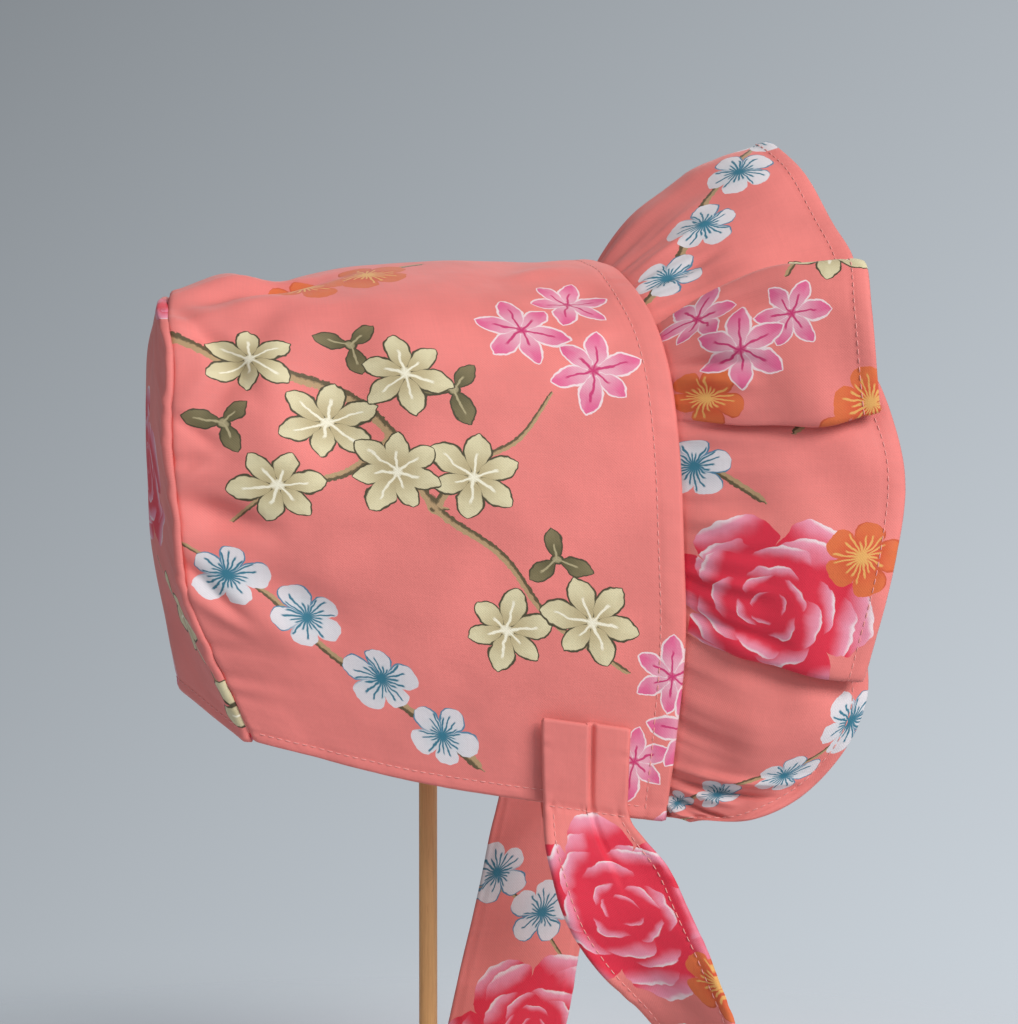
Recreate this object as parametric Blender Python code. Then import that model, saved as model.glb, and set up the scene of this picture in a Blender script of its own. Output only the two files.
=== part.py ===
"""Baby sunbonnet of printed cotton on a wooden dowel stand.

The bonnet faces +X, +Z is up and +Y is the wearer's left. The origin is the centre of the
stand's underside, and the dowel stands on the Z axis. Tables give one half of the bonnet in
millimetres, with y measured out from the middle plane, and the other half is its mirror.
"""

import bpy
import numpy as np

MM = 0.001

# Cloth walls, and the clearance between pieces that touch, larger between faceted curves
CROWN_WALL = 2.0 * MM
BACK_WALL = 2.0 * MM
BRIM_WALL = 1.2 * MM
TIE_WALL = 1.6 * MM
CLEARANCE = 0.3 * MM
FACET_CLEARANCE = 0.5 * MM
BRIM_CLEARANCE = 0.8 * MM

# Stand
BASE_RADIUS = 60.0 * MM
BASE_HEIGHT = 18.0 * MM
BASE_BEVEL = 2.0 * MM
SOCKET_DEPTH = 12.0 * MM
DOWEL_RADIUS = 3.0 * MM
CAP_RADIUS = 22.0 * MM
CAP_HEIGHT = 12.0 * MM
CAP_SOCKET_DEPTH = 8.0 * MM
CAP_OUTLINE = (
    # radius_share, height_share
    (0.80, 0.00),
    (1.00, 0.20),
    (1.00, 0.45),
    (0.86, 0.72),
    (0.55, 0.91),
)
BASE_SIDES = 48
CAP_SIDES = 32
DOWEL_SIDES = 20

# Colours, as linear red, green, blue and alpha
CORAL = (0.80, 0.17, 0.15, 1.0)
BACK_CORAL = (0.78, 0.16, 0.14, 1.0)
BRIM_CORAL = (0.82, 0.18, 0.16, 1.0)
TIE_CORAL = (0.80, 0.15, 0.18, 1.0)
PALE_WOOD = (0.55, 0.33, 0.14, 1.0)
CLOTH_ROUGHNESS = 0.85
WOOD_ROUGHNESS = 0.6

# Mesh density of the cloth
CROWN_COLUMNS = 56
CROWN_ROWS = 15
BRIM_COLUMN_STEP = 7.6 * MM
BRIM_ROWS = 8
TIE_COLUMNS = 6
TIE_ROW_STEP = 6.0 * MM

# The crown's length along its top, and the height of the middle of the head inside it
CROWN_LENGTH = 138.0 * MM
HEAD_MIDDLE_Z = 220.0 * MM

# Half of the crown from the hem (arch 0) to the top (arch 1): a row for each station, with
# the place of its front edge and of its back seam
CROWN_STATIONS = (
    # arch, front_x, front_y, front_z, back_x, back_y, back_z
    (0.00, 69.5, 58.0, 123.7, -59.1, 45.0, 148.9),
    (0.12, 72.6, 60.0, 150.0, -69.5, 50.5, 171.0),
    (0.25, 75.0, 62.5, 179.0, -79.0, 56.5, 193.5),
    (0.40, 74.2, 64.0, 211.0, -82.5, 59.5, 220.0),
    (0.55, 72.8, 63.0, 243.0, -84.5, 60.0, 247.0),
    (0.67, 70.0, 59.0, 267.5, -84.0, 57.5, 268.0),
    (0.77, 66.0, 49.5, 284.0, -85.5, 49.0, 281.5),
    (0.88, 60.5, 28.0, 296.5, -84.5, 28.0, 289.0),
    (1.00, 55.1, 0.0, 301.8, -83.5, 0.0, 290.5),
)

# Fullness of the crown from its front edge (depth 0) to the back seam (depth 1): how far it
# stands over the straight line between them at the top and at the side, and how far the hem sags.
# The top's part starts at one place on the arch, and the side's and the hem's end at another.
TOP_RISE_FROM = 0.70
SIDE_SWELL_TO = 0.90
HEM_SAG_TO = 0.25
CROWN_FULLNESS = (
    # depth, top_rise, side_swell, hem_sag
    (0.00, 0.0, 0.0, 0.0),
    (0.08, 1.0, 0.4, 0.9),
    (0.25, 2.6, 1.8, 1.4),
    (0.42, 3.9, 3.0, 2.6),
    (0.55, 4.2, 3.4, 3.2),
    (0.70, 2.4, 2.8, 2.6),
    (0.76, 1.2, 2.4, 2.2),
    (0.86, 5.0, 1.4, 1.2),
    (1.00, 0.0, 0.0, 0.0),
)

# Soft hollows in the crown's cloth
CROWN_HOLLOWS = (
    # arch, depth, arch_reach, depth_reach, hollow
    (0.58, 0.70, 0.13, 0.10, 3.0),
    (0.66, 0.90, 0.06, 0.035, 2.2),
    (0.40, 0.93, 0.04, 0.05, 2.0),
    (0.80, 0.88, 0.05, 0.07, 2.4),
    (0.20, 0.72, 0.10, 0.14, 2.6),
    (0.80, 0.10, 0.06, 0.08, 2.2),
    (0.10, 0.45, 0.08, 0.22, 1.4),
)

# Fullness of the back panel from the nape to the top: how far it stands behind the plain patch
# between its seams, or before it where that is less than nothing
BACK_BULGE = (
    # height, bulge
    (0.00, 0.0),
    (0.15, -4.0),
    (0.31, -5.8),
    (0.50, -3.4),
    (0.69, -0.8),
    (0.84, 2.9),
    (0.93, 2.0),
    (1.00, 0.0),
)
BACK_TOP_ARCH = 0.80
NAPE_RISE = 14.0 * MM
NAPE_SETBACK = 22.6 * MM

# Half of the brim from the hem corner to the top: a row for each fold, with its place on the
# crown's front edge, its place on the outer edge, and how far it stands out and droops halfway
BRIM_FOLDS = (
    # name, arch, edge_x, edge_y, edge_z, stand_out, droop
    ("hem corner", 0.000, 77.0, 60.5, 124.2, 0.0, 0.0),
    ("fourth lobe, underside", 0.035, 95.0, 70.0, 125.3, 1.0, 0.0),
    ("fourth lobe, turn", 0.075, 113.5, 73.0, 135.5, 3.0, 0.0),
    ("fourth lobe, front", 0.140, 125.5, 70.0, 150.5, 5.0, 0.0),
    ("fourth lobe, shoulder", 0.205, 131.0, 66.0, 165.0, 4.0, 0.0),
    ("tuck behind third lobe", 0.260, 129.5, 58.0, 176.0, -4.0, 0.0),
    ("third lobe, lower crest", 0.272, 127.6, 86.0, 168.8, 7.0, 0.0),
    ("third lobe, low", 0.320, 131.0, 89.0, 182.0, 6.0, 0.0),
    ("third lobe, middle", 0.400, 136.6, 86.0, 205.5, 6.0, 0.0),
    ("third lobe, high", 0.480, 140.8, 80.0, 229.5, 5.0, 0.0),
    ("third lobe, shoulder", 0.545, 139.3, 74.0, 243.5, 4.0, 2.0),
    ("tuck behind second lobe", 0.576, 131.0, 61.0, 259.0, -4.0, 3.0),
    ("second lobe, lower crest", 0.588, 132.8, 85.0, 251.4, 7.0, 7.0),
    ("second lobe, low", 0.625, 130.6, 89.0, 262.5, 6.0, 4.0),
    ("second lobe, high", 0.695, 129.0, 86.0, 283.5, 6.0, 0.0),
    ("second lobe, upper crest", 0.744, 129.2, 75.0, 298.6, 7.0, -3.0),
    ("tuck under second lobe", 0.756, 127.0, 57.0, 289.5, -3.0, -1.0),
    ("first lobe, shoulder", 0.785, 131.5, 48.0, 300.0, 1.0, 0.0),
    ("first lobe, side", 0.850, 127.5, 34.0, 314.5, 5.0, 0.0),
    ("first lobe, front", 0.930, 119.5, 15.0, 334.0, 7.0, 0.0),
    ("first lobe, peak", 1.000, 113.4, 0.0, 342.3, 8.0, 0.0),
)
BRIM_TUCKED = 10.0 * MM
BRIM_END_ARCH = 0.004

# Small gathers of the brim on one half: how many, how high, and the share of the brim's width
# that they reach. They start a little above the hem corner.
GATHERS = 17
GATHER_HEIGHT = 1.1 * MM
GATHER_REACH = 0.62
GATHERS_FROM = 0.01
GATHERS_FULL = 0.05

# Where each tie is sewn to the outside of the crown, and the step of its pleat, which stands
# between two shares of the tie's width
PLEAT_FROM = 0.38
PLEAT_TO = 0.56
TIE_SEWN = (
    # arch, front_depth, back_depth, pleat_step
    (0.126, 0.105, 0.292, 2.2),
    (0.085, 0.103, 0.292, 2.2),
    (0.045, 0.100, 0.291, 2.0),
    (0.008, 0.094, 0.290, 1.6),
)

# How each tie hangs below the hem: a row for each cross-section, with its back and front edge,
# the pleat that is left in it, and how far it is cupped
TIE_RIGHT_HANG = (
    # back_x, back_y, back_z, front_x, front_y, front_z, pleat_step, cup
    (32.0, 61.0, 117.0, 62.0, 61.5, 118.5, 1.0, 0.5),
    (34.4, 62.0, 106.0, 68.5, 64.0, 110.5, 0.4, 1.5),
    (38.5, 61.5, 93.0, 74.5, 66.5, 97.5, 0.0, 2.5),
    (46.5, 59.0, 79.5, 80.5, 69.5, 83.5, 0.0, 3.0),
    (57.0, 55.5, 68.0, 85.8, 72.0, 69.0, 0.0, 3.0),
    (67.0, 51.0, 58.0, 89.5, 74.0, 55.5, 0.0, 2.5),
    (76.0, 46.5, 46.5, 93.0, 74.0, 41.5, 0.0, 2.0),
    (83.0, 42.5, 34.0, 96.5, 72.0, 27.5, 0.0, 1.5),
)
TIE_LEFT_HANG = (
    # back_x, back_y, back_z, front_x, front_y, front_z, pleat_step, cup
    (30.8, 60.5, 117.0, 60.0, 61.5, 118.0, 1.0, 0.5),
    (28.0, 61.0, 105.0, 62.5, 62.5, 106.5, 0.4, 1.5),
    (25.0, 60.5, 90.5, 62.5, 62.5, 92.5, 0.0, 2.0),
    (21.3, 59.5, 74.5, 60.3, 61.5, 75.5, 0.0, 2.5),
    (17.3, 58.5, 58.5, 56.8, 60.5, 57.5, 0.0, 2.0),
    (13.3, 57.5, 41.0, 53.2, 59.5, 39.0, 0.0, 2.0),
    (10.0, 56.5, 27.0, 50.5, 58.5, 25.0, 0.0, 1.5),
)

NEAR_SIDE = -1.0
FAR_SIDE = 1.0


def clear_scene():
    for item in list(bpy.data.objects):
        bpy.data.objects.remove(item)


def smooth_step(low, high, value):
    share = np.clip((value - low) / (high - low), 0.0, 1.0)
    return share * share * (3.0 - 2.0 * share)


def unit(vectors):
    return vectors / np.linalg.norm(vectors, axis=-1, keepdims=True)


def spline(knots, rows, at):
    """Smooth curve through rows at growing knots: a cubic whose slope at a row is the weighted
    mean of the straight slopes on both sides of it."""
    knots = np.asarray(knots, dtype=float)
    rows = np.asarray(rows, dtype=float)
    steps = np.diff(knots)
    straight = np.diff(rows, axis=0) / steps[:, None]
    slopes = np.empty_like(rows)
    slopes[0] = straight[0]
    slopes[-1] = straight[-1]
    weight = (steps[:-1] / (steps[:-1] + steps[1:]))[:, None]
    slopes[1:-1] = straight[:-1] * (1.0 - weight) + straight[1:] * weight
    at = np.asarray(at, dtype=float)
    span = np.clip(np.searchsorted(knots, at, side="right") - 1, 0, len(steps) - 1)
    step = steps[span]
    share = ((at - knots[span]) / step)[..., None]
    step = step[..., None]
    rise = share * share * (3.0 - 2.0 * share)
    leave = share * (1.0 - share) ** 2
    arrive = share * share * (share - 1.0)
    return (rows[span] * (1.0 - rise) + rows[span + 1] * rise
            + (slopes[span] * leave + slopes[span + 1] * arrive) * step)


def both_halves(rows, knot_column, y_columns):
    """Table rows of one half made into rows from the near hem over the top to the far hem."""
    half = np.asarray(rows, dtype=float)
    near = half.copy()
    near[:, y_columns] *= NEAR_SIDE
    far = half[-2::-1].copy()
    far[:, knot_column] = 2.0 - far[:, knot_column]
    return np.vstack((near, far))


def away_from_head(points):
    """Direction across the view from the front, away from the middle of the head."""
    level = points[..., 2] - HEAD_MIDDLE_Z
    return unit(np.stack((np.zeros_like(level), points[..., 1], level), axis=-1))


def crown_point(arch, depth):
    """Outer surface of the crown. Arch runs from 0 at the near hem over 1 at the top to 2 at
    the far hem, and depth from 0 at the front edge to 1 at the back seam."""
    arch, depth = np.broadcast_arrays(arch, depth)
    stations = both_halves(CROWN_STATIONS, 0, [2, 5])
    placed = spline(stations[:, 0], stations[:, 1:], arch) * MM
    front = placed[..., :3]
    back = placed[..., 3:]
    point = front + (back - front) * depth[..., None]

    fullness = np.asarray(CROWN_FULLNESS)
    rise, swell, sag = np.moveaxis(spline(fullness[:, 0], fullness[:, 1:], depth) * MM, -1, 0)
    climb = 1.0 - np.abs(arch - 1.0)
    side = np.sign(arch - 1.0)
    point[..., 2] += rise * smooth_step(TOP_RISE_FROM, 1.0, climb)
    point[..., 2] -= sag * (1.0 - smooth_step(0.0, HEM_SAG_TO, climb))
    point[..., 1] += side * swell * np.sin(np.pi * np.clip(climb / SIDE_SWELL_TO, 0.0, 1.0))

    inward = -away_from_head(point)
    for row_arch, row_depth, arch_reach, depth_reach, hollow in CROWN_HOLLOWS:
        away = ((climb - row_arch) / arch_reach) ** 2 + ((depth - row_depth) / depth_reach) ** 2
        point += inward * (hollow * MM * np.exp(-away))[..., None]
    return point


def crown_normal(arch, depth):
    """Direction out of the crown's cloth, from the surface's own slopes."""
    small = 0.002
    along_arch = crown_point(arch + small, depth) - crown_point(arch - small, depth)
    along_depth = crown_point(arch, depth + small) - crown_point(arch, depth - small)
    return unit(np.cross(along_arch, along_depth))


def crown_grid():
    """Outer face of the crown, from its front edge to its back seam."""
    arch, depth = np.meshgrid(np.linspace(0.0, 2.0, CROWN_COLUMNS + 1),
                              np.linspace(0.0, 1.0, CROWN_ROWS + 1))
    return crown_point(arch, depth)


def brim_profile():
    """Rows of the whole brim, and a knot for each that grows with the square root of the way
    along its outer edge, so that the curve through sharp folds has no overshoot."""
    rows = both_halves([fold[1:] for fold in BRIM_FOLDS], 0, [2])
    ways = np.linalg.norm(np.diff(rows[:, 1:4], axis=0), axis=1)
    knots = np.concatenate(([0.0], np.cumsum(np.sqrt(ways))))
    return knots, rows


def brim_columns(knots, rows):
    """Knots of the brim's columns, spaced evenly along the outer edge."""
    fine = np.linspace(knots[0], knots[-1], 2001)
    edge = spline(knots, rows[:, 1:4], fine) * MM
    ways = np.concatenate(([0.0], np.cumsum(np.linalg.norm(np.diff(edge, axis=0), axis=1))))
    count = int(round(ways[-1] / BRIM_COLUMN_STEP))
    return np.interp(np.linspace(0.0, ways[-1], count + 1), ways, fine)


def brim_grid():
    """Rows of the brim from its tucked root to its outer edge. Each free line is a bow from
    the crown's front edge through a point that stands out from the head to the outer edge."""
    knots, rows = brim_profile()
    columns = brim_columns(knots, rows)
    values = spline(knots, rows, columns)
    arch = np.interp(columns, knots, rows[:, 0])
    arch = np.clip(arch, BRIM_END_ARCH, 2.0 - BRIM_END_ARCH)
    edge = values[:, 1:4] * MM
    stand_out = values[:, 4:5] * MM
    droop = values[:, 5:6] * MM * (0.0, 0.0, -1.0)

    front = np.zeros_like(arch)
    drop = CROWN_WALL + BRIM_CLEARANCE
    tucked_depth = front + BRIM_TUCKED / CROWN_LENGTH
    inner = crown_point(arch, tucked_depth) - crown_normal(arch, tucked_depth) * drop
    mouth = crown_point(arch, front) - crown_normal(arch, front) * drop
    outward = away_from_head(mouth)
    middle = (mouth + edge) / 2.0 + (outward * stand_out + droop) * 2.0

    climb = 1.0 - np.abs(arch - 1.0)
    gathers = np.sin(2.0 * np.pi * GATHERS * climb)
    gathers = gathers * smooth_step(GATHERS_FROM, GATHERS_FULL, climb)
    grid = [inner, mouth]
    for row in range(1, BRIM_ROWS + 1):
        reach = row / BRIM_ROWS
        line = (mouth * (1.0 - reach) ** 2 + middle * 2.0 * reach * (1.0 - reach)
                + edge * reach ** 2)
        ripple = GATHER_HEIGHT * np.sin(np.pi * min(1.0, reach / GATHER_REACH)) * gathers
        grid.append(line + outward * ripple[:, None])
    return np.array(grid)


def back_grid():
    """Back panel: a patch between the two seams, the nape and the top of the seam, that bulges
    to the rear. Its border lies just behind the crown's back edge."""
    column_arch = np.linspace(0.0, 2.0, CROWN_COLUMNS + 1)
    seam_depth = np.ones_like(column_arch)
    seam = crown_point(column_arch, seam_depth)
    outward = crown_normal(column_arch, seam_depth)
    rearward = unit(np.cross(outward, np.gradient(seam, axis=0)))
    seam = seam + rearward * (BACK_WALL + FACET_CLEARANCE)

    corner = int(round(BACK_TOP_ARCH * CROWN_COLUMNS / 2.0))
    near = seam[:corner + 1]
    far = seam[::-1][:corner + 1]
    top = seam[corner:CROWN_COLUMNS - corner + 1]
    across = np.linspace(0.0, 1.0, len(top))[:, None]
    height = np.linspace(0.0, 1.0, corner + 1)[None, :]

    arched = np.sin(np.pi * across)
    nape = near[0] * (1.0 - across) + far[0] * across
    nape = nape + np.hstack((-NAPE_SETBACK * arched, 0.0 * arched, NAPE_RISE * arched))
    corners = ((1.0 - across) * (1.0 - height), across * (1.0 - height),
               (1.0 - across) * height, across * height)
    patch = (nape[:, None] * (1.0 - height[..., None]) + top[:, None] * height[..., None]
             + near[None] * (1.0 - across[..., None]) + far[None] * across[..., None]
             - near[0] * corners[0][..., None] - far[0] * corners[1][..., None]
             - near[-1] * corners[2][..., None] - far[-1] * corners[3][..., None])
    table = np.asarray(BACK_BULGE)
    bulge = spline(table[:, 0], table[:, 1:], height[0])[:, 0] * MM
    patch[..., 0] -= bulge[None, :] * (1.0 - (2.0 * across - 1.0) ** 4)
    return np.swapaxes(patch, 0, 1)


def tie_sections(side, hang_rows):
    """Back and front edge of each cross-section of a tie, with its pleat and its cup. The first
    rows lie on the crown, and the rest hang."""
    sections = []
    for arch, front_depth, back_depth, pleat_step in TIE_SEWN:
        place = np.array([arch if side == NEAR_SIDE else 2.0 - arch] * 2)
        depth = np.array([back_depth, front_depth])
        lifted = CLEARANCE + TIE_WALL + FACET_CLEARANCE
        edges = crown_point(place, depth) + crown_normal(place, depth) * lifted
        sections.append(np.concatenate((edges[0], edges[1], [pleat_step * MM, 0.0])))
    for row in hang_rows:
        values = np.array(row) * MM
        values[[1, 4]] *= side
        sections.append(values)
    return np.array(sections)


def tie_grid(side, hang_rows):
    """Outer face of a tie, from its sewn end down, with the pleat as a step across it."""
    sections = tie_sections(side, hang_rows)
    centres = (sections[:, 0:3] + sections[:, 3:6]) / 2.0
    ways = np.concatenate(([0.0], np.cumsum(np.linalg.norm(np.diff(centres, axis=0), axis=1))))
    count = int(round(ways[-1] / TIE_ROW_STEP))
    rows = spline(ways, sections, np.linspace(0.0, ways[-1], count + 1))
    back = rows[:, None, 0:3]
    front = rows[:, None, 3:6]
    pleat = rows[:, None, 6:7]
    cup = rows[:, None, 7:8]
    down = np.gradient((back + front) / 2.0, axis=0)
    outward = unit(np.cross(front - back, down)) * side
    across = np.linspace(0.0, 1.0, TIE_COLUMNS + 1)[None, :, None]
    stepped = smooth_step(PLEAT_FROM, PLEAT_TO, across) * (1.0 - 0.5 * across ** 4)
    lift = pleat * stepped - cup * np.sin(np.pi * across)
    return back + (front - back) * across + outward * lift


def material(name, colour, roughness):
    made = bpy.data.materials.new(name)
    made.use_nodes = True
    shader = made.node_tree.nodes["Principled BSDF"]
    shader.inputs["Base Color"].default_value = colour
    shader.inputs["Roughness"].default_value = roughness
    shader.inputs["Metallic"].default_value = 0.0
    return made


def add_object(name, vertices, faces, surface):
    mesh = bpy.data.meshes.new(name)
    mesh.from_pydata([tuple(vertex) for vertex in vertices], [], faces)
    mesh.materials.append(surface)
    mesh.shade_smooth()
    made = bpy.data.objects.new(name, mesh)
    bpy.context.collection.objects.link(made)
    return made


def cloth_object(name, grid, wall, outward_hint, surface):
    """Cloth with its outer face on a grid of points and its thickness inside it. The hint
    points out of the cloth at the middle of the grid."""
    rows, columns = grid.shape[:2]
    corner = (np.arange(rows - 1)[:, None] * columns + np.arange(columns - 1)[None, :]).ravel()
    faces = np.stack((corner, corner + 1, corner + columns + 1, corner + columns), axis=1)
    row, column = rows // 2, columns // 2
    normal = np.cross(grid[row, column + 1] - grid[row, column],
                      grid[row + 1, column] - grid[row, column])
    if np.dot(normal, outward_hint) < 0.0:
        faces = faces[:, ::-1]
    made = add_object(name, grid.reshape(-1, 3), faces.tolist(), surface)
    thicken = made.modifiers.new("cloth thickness", "SOLIDIFY")
    thicken.thickness = wall
    thicken.offset = -1.0
    thicken.use_even_offset = False
    return made


def turned_object(name, profile, sides, surface):
    """Solid turned on the Z axis from an outline of radius and height, closed on the axis."""
    angles = np.linspace(0.0, 2.0 * np.pi, sides, endpoint=False)
    vertices = []
    rings = []
    for radius, height in profile:
        if radius == 0.0:
            rings.append([len(vertices)] * sides)
            vertices.append((0.0, 0.0, height))
        else:
            rings.append(list(range(len(vertices), len(vertices) + sides)))
            vertices.extend((radius * np.cos(a), radius * np.sin(a), height) for a in angles)
    faces = []
    for lower, upper in zip(rings[:-1], rings[1:]):
        for side in range(sides):
            after = (side + 1) % sides
            ring = (lower[side], lower[after], upper[after], upper[side])
            faces.append(tuple(dict.fromkeys(ring)))
    return add_object(name, vertices, faces, surface)


def build_stand(wood):
    """Base, cap and dowel, with the dowel's ends in blind sockets. The cap's top just touches
    the crown's roof over the dowel."""
    hole = DOWEL_RADIUS + CLEARANCE
    base_floor = BASE_HEIGHT - SOCKET_DEPTH
    turned_object("stand_base", (
        (0.0, 0.0),
        (BASE_RADIUS - BASE_BEVEL / 2.0, 0.0),
        (BASE_RADIUS, BASE_BEVEL / 2.0),
        (BASE_RADIUS, BASE_HEIGHT - BASE_BEVEL),
        (BASE_RADIUS - BASE_BEVEL, BASE_HEIGHT),
        (hole, BASE_HEIGHT),
        (hole, base_floor),
        (0.0, base_floor),
    ), BASE_SIDES, wood)

    along_top = crown_point(np.ones(101), np.linspace(1.0, 0.0, 101))
    roof = np.interp(0.0, along_top[:, 0], along_top[:, 2])
    cap_top = roof - CROWN_WALL - FACET_CLEARANCE
    cap_floor = cap_top - CAP_HEIGHT
    outline = [(CAP_RADIUS * out, cap_floor + CAP_HEIGHT * up) for out, up in CAP_OUTLINE]
    turned_object("stand_cap", (
        (0.0, cap_floor + CAP_SOCKET_DEPTH),
        (hole, cap_floor + CAP_SOCKET_DEPTH),
        (hole, cap_floor),
        *outline,
        (0.0, cap_top),
    ), CAP_SIDES, wood)

    turned_object("stand_dowel", (
        (0.0, base_floor + CLEARANCE),
        (DOWEL_RADIUS, base_floor + CLEARANCE),
        (DOWEL_RADIUS, cap_floor + CAP_SOCKET_DEPTH - CLEARANCE),
        (0.0, cap_floor + CAP_SOCKET_DEPTH - CLEARANCE),
    ), DOWEL_SIDES, wood)


def build():
    clear_scene()
    cotton = material("coral_cotton", CORAL, CLOTH_ROUGHNESS)
    back_cotton = material("coral_cotton_back", BACK_CORAL, CLOTH_ROUGHNESS)
    brim_cotton = material("coral_cotton_brim", BRIM_CORAL, CLOTH_ROUGHNESS)
    tie_cotton = material("coral_cotton_ties", TIE_CORAL, CLOTH_ROUGHNESS)
    wood = material("pale_wood", PALE_WOOD, WOOD_ROUGHNESS)

    cloth_object("crown", crown_grid(), CROWN_WALL, (0.0, 0.0, 1.0), cotton)
    cloth_object("back_panel", back_grid(), BACK_WALL, (-1.0, 0.0, 0.0), back_cotton)
    cloth_object("brim", brim_grid(), BRIM_WALL, (-0.3, 0.0, 1.0), brim_cotton)
    cloth_object("tie_right", tie_grid(NEAR_SIDE, TIE_RIGHT_HANG), TIE_WALL,
                 (0.0, NEAR_SIDE, 0.0), tie_cotton)
    cloth_object("tie_left", tie_grid(FAR_SIDE, TIE_LEFT_HANG), TIE_WALL,
                 (0.0, FAR_SIDE, 0.0), tie_cotton)
    build_stand(wood)


build()
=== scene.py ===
"""Baby sunbonnet of printed cotton on a turned wooden stand: its cloth, thread and wood.

The bonnet faces +X, the wearer's left is +Y and +Z is up, in metres. Tables give lengths in
millimetres, and one half of the bonnet with y measured out from its middle plane.
"""

from functools import partial

import bpy
import numpy as np
from mathutils import Matrix, Vector


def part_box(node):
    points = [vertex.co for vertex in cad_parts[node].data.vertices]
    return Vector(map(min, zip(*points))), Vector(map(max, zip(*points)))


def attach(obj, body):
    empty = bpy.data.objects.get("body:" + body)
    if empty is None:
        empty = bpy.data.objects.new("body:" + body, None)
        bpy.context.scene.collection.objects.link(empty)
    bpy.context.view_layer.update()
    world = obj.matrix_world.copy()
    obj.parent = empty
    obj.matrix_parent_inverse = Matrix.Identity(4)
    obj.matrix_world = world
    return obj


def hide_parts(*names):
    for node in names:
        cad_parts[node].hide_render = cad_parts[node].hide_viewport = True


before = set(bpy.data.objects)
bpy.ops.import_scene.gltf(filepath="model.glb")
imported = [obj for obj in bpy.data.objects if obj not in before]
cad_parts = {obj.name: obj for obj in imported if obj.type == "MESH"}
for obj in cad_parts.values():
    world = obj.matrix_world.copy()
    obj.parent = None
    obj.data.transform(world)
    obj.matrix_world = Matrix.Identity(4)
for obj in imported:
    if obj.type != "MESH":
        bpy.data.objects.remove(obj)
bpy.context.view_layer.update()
MM = 0.001
FULL_TURN = 2.0 * np.pi

# Stand base: a plain disc of pale hardwood, turned on a lathe, with its edges rounded over and
# a blind hole in the middle that the dowel is pressed into.

BASE_RADIUS = 60.0
BASE_HEIGHT = 18.0
BASE_ROUNDING = 2.0
BASE_HOLE_RADIUS = 3.3
BASE_HOLE_FLOOR = 6.0
HOLE_CHAMFER = 0.5
BASE_SIDES = 128
WOOD_PALE = (0.62, 0.40, 0.20)
WOOD_DARK = (0.36, 0.19, 0.075)
BASE_FIBRES = (9.0, 260.0, 260.0)


def rounded_corner(radius, height, rounding, start, end, steps=7):
    """Rows of radius and height on a quarter circle of the given rounding, round a centre that
    lies at radius and height, from a start angle to an end angle in degrees."""
    angles = np.radians(np.linspace(start, end, steps))
    return list(zip(radius + rounding * np.cos(angles), height + rounding * np.sin(angles)))


def new_mesh(name, points, faces):
    """A smooth-shaded mesh of points in any grid and faces of their numbers."""
    mesh = bpy.data.meshes.new(name)
    mesh.from_pydata(points.reshape(-1, 3).tolist(), [], faces)
    mesh.shade_smooth()
    return mesh


def tube_faces(rings, sides):
    """Faces of a tube of rings of points, and the fans that close it on a first and a last tip,
    whose points come after the rings."""
    side = np.arange(sides)
    after = (side + 1) % sides
    low = (np.arange(rings - 1) * sides)[:, None]
    quads = np.stack((low + side, low + after, low + sides + after, low + sides + side), axis=-1)
    tip = np.full(sides, rings * sides)
    last = (rings - 1) * sides
    fans = np.vstack((np.stack((tip, after, side), axis=1),
                      np.stack((tip + 1, last + side, last + after), axis=1)))
    return quads.reshape(-1, 4), fans


def turned_mesh(name, profile, sides):
    """Profile of radius and height carried round the Z axis: a point at an angle is radius times
    cosine, radius times sine, height. The profile starts and ends on the axis."""
    rows = np.array(profile) * MM
    angles = np.linspace(0.0, FULL_TURN, sides, endpoint=False)
    radius, height = rows[1:-1, 0:1], rows[1:-1, 1:2]
    rings = np.stack((radius * np.cos(angles), radius * np.sin(angles), height + 0.0 * angles), -1)
    ends = np.array(((0.0, 0.0, rows[0, 1]), (0.0, 0.0, rows[-1, 1])))
    quads, fans = tube_faces(len(rings), sides)
    return new_mesh(name, np.vstack((rings.reshape(-1, 3), ends)), quads.tolist() + fans.tolist())


def add_piece(mesh, finish):
    """A mesh made an object that rides on the bonnet's one body, with its finish."""
    mesh.materials.append(finish)
    piece = bpy.data.objects.new(mesh.name, mesh)
    bpy.context.scene.collection.objects.link(piece)
    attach(piece, "root")
    return piece


def new_group(name, inputs, outputs):
    """An empty shader node group with named sockets, each with its kind, and what they hold."""
    group = bpy.data.node_groups.new(name, "ShaderNodeTree")
    for in_out, sockets in (("INPUT", inputs), ("OUTPUT", outputs)):
        for socket, kind in sockets.items():
            group.interface.new_socket(socket, in_out=in_out, socket_type="NodeSocket" + kind)
    source = group.nodes.new("NodeGroupInput")
    target = group.nodes.new("NodeGroupOutput")
    return group, source.outputs, target.inputs


def new_finish(name):
    """A new material, its node tree, and the sockets of its one shader."""
    finish = bpy.data.materials.new(name)
    finish.use_nodes = True
    return finish, finish.node_tree, finish.node_tree.nodes["Principled BSDF"].inputs


def plug(tree, value, socket):
    """A link from an output, or a plain value, into a socket. A colour of three parts is opaque."""
    if isinstance(value, bpy.types.NodeSocket):
        tree.links.new(value, socket)
    elif socket.type == "RGBA":
        socket.default_value = (*value, 1.0)
    else:
        socket.default_value = value


def maths(tree, operation, *values, kind="ShaderNodeMath"):
    """The result of one maths node on values that are numbers or outputs."""
    node = tree.nodes.new(kind)
    node.operation = operation
    for value, socket in zip(values, node.inputs):
        plug(tree, value, socket)
    return node.outputs[0]


def vector_maths(tree, operation, *values):
    """The result of one vector maths node, worked out part by part."""
    return maths(tree, operation, *values, kind="ShaderNodeVectorMath")


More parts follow.
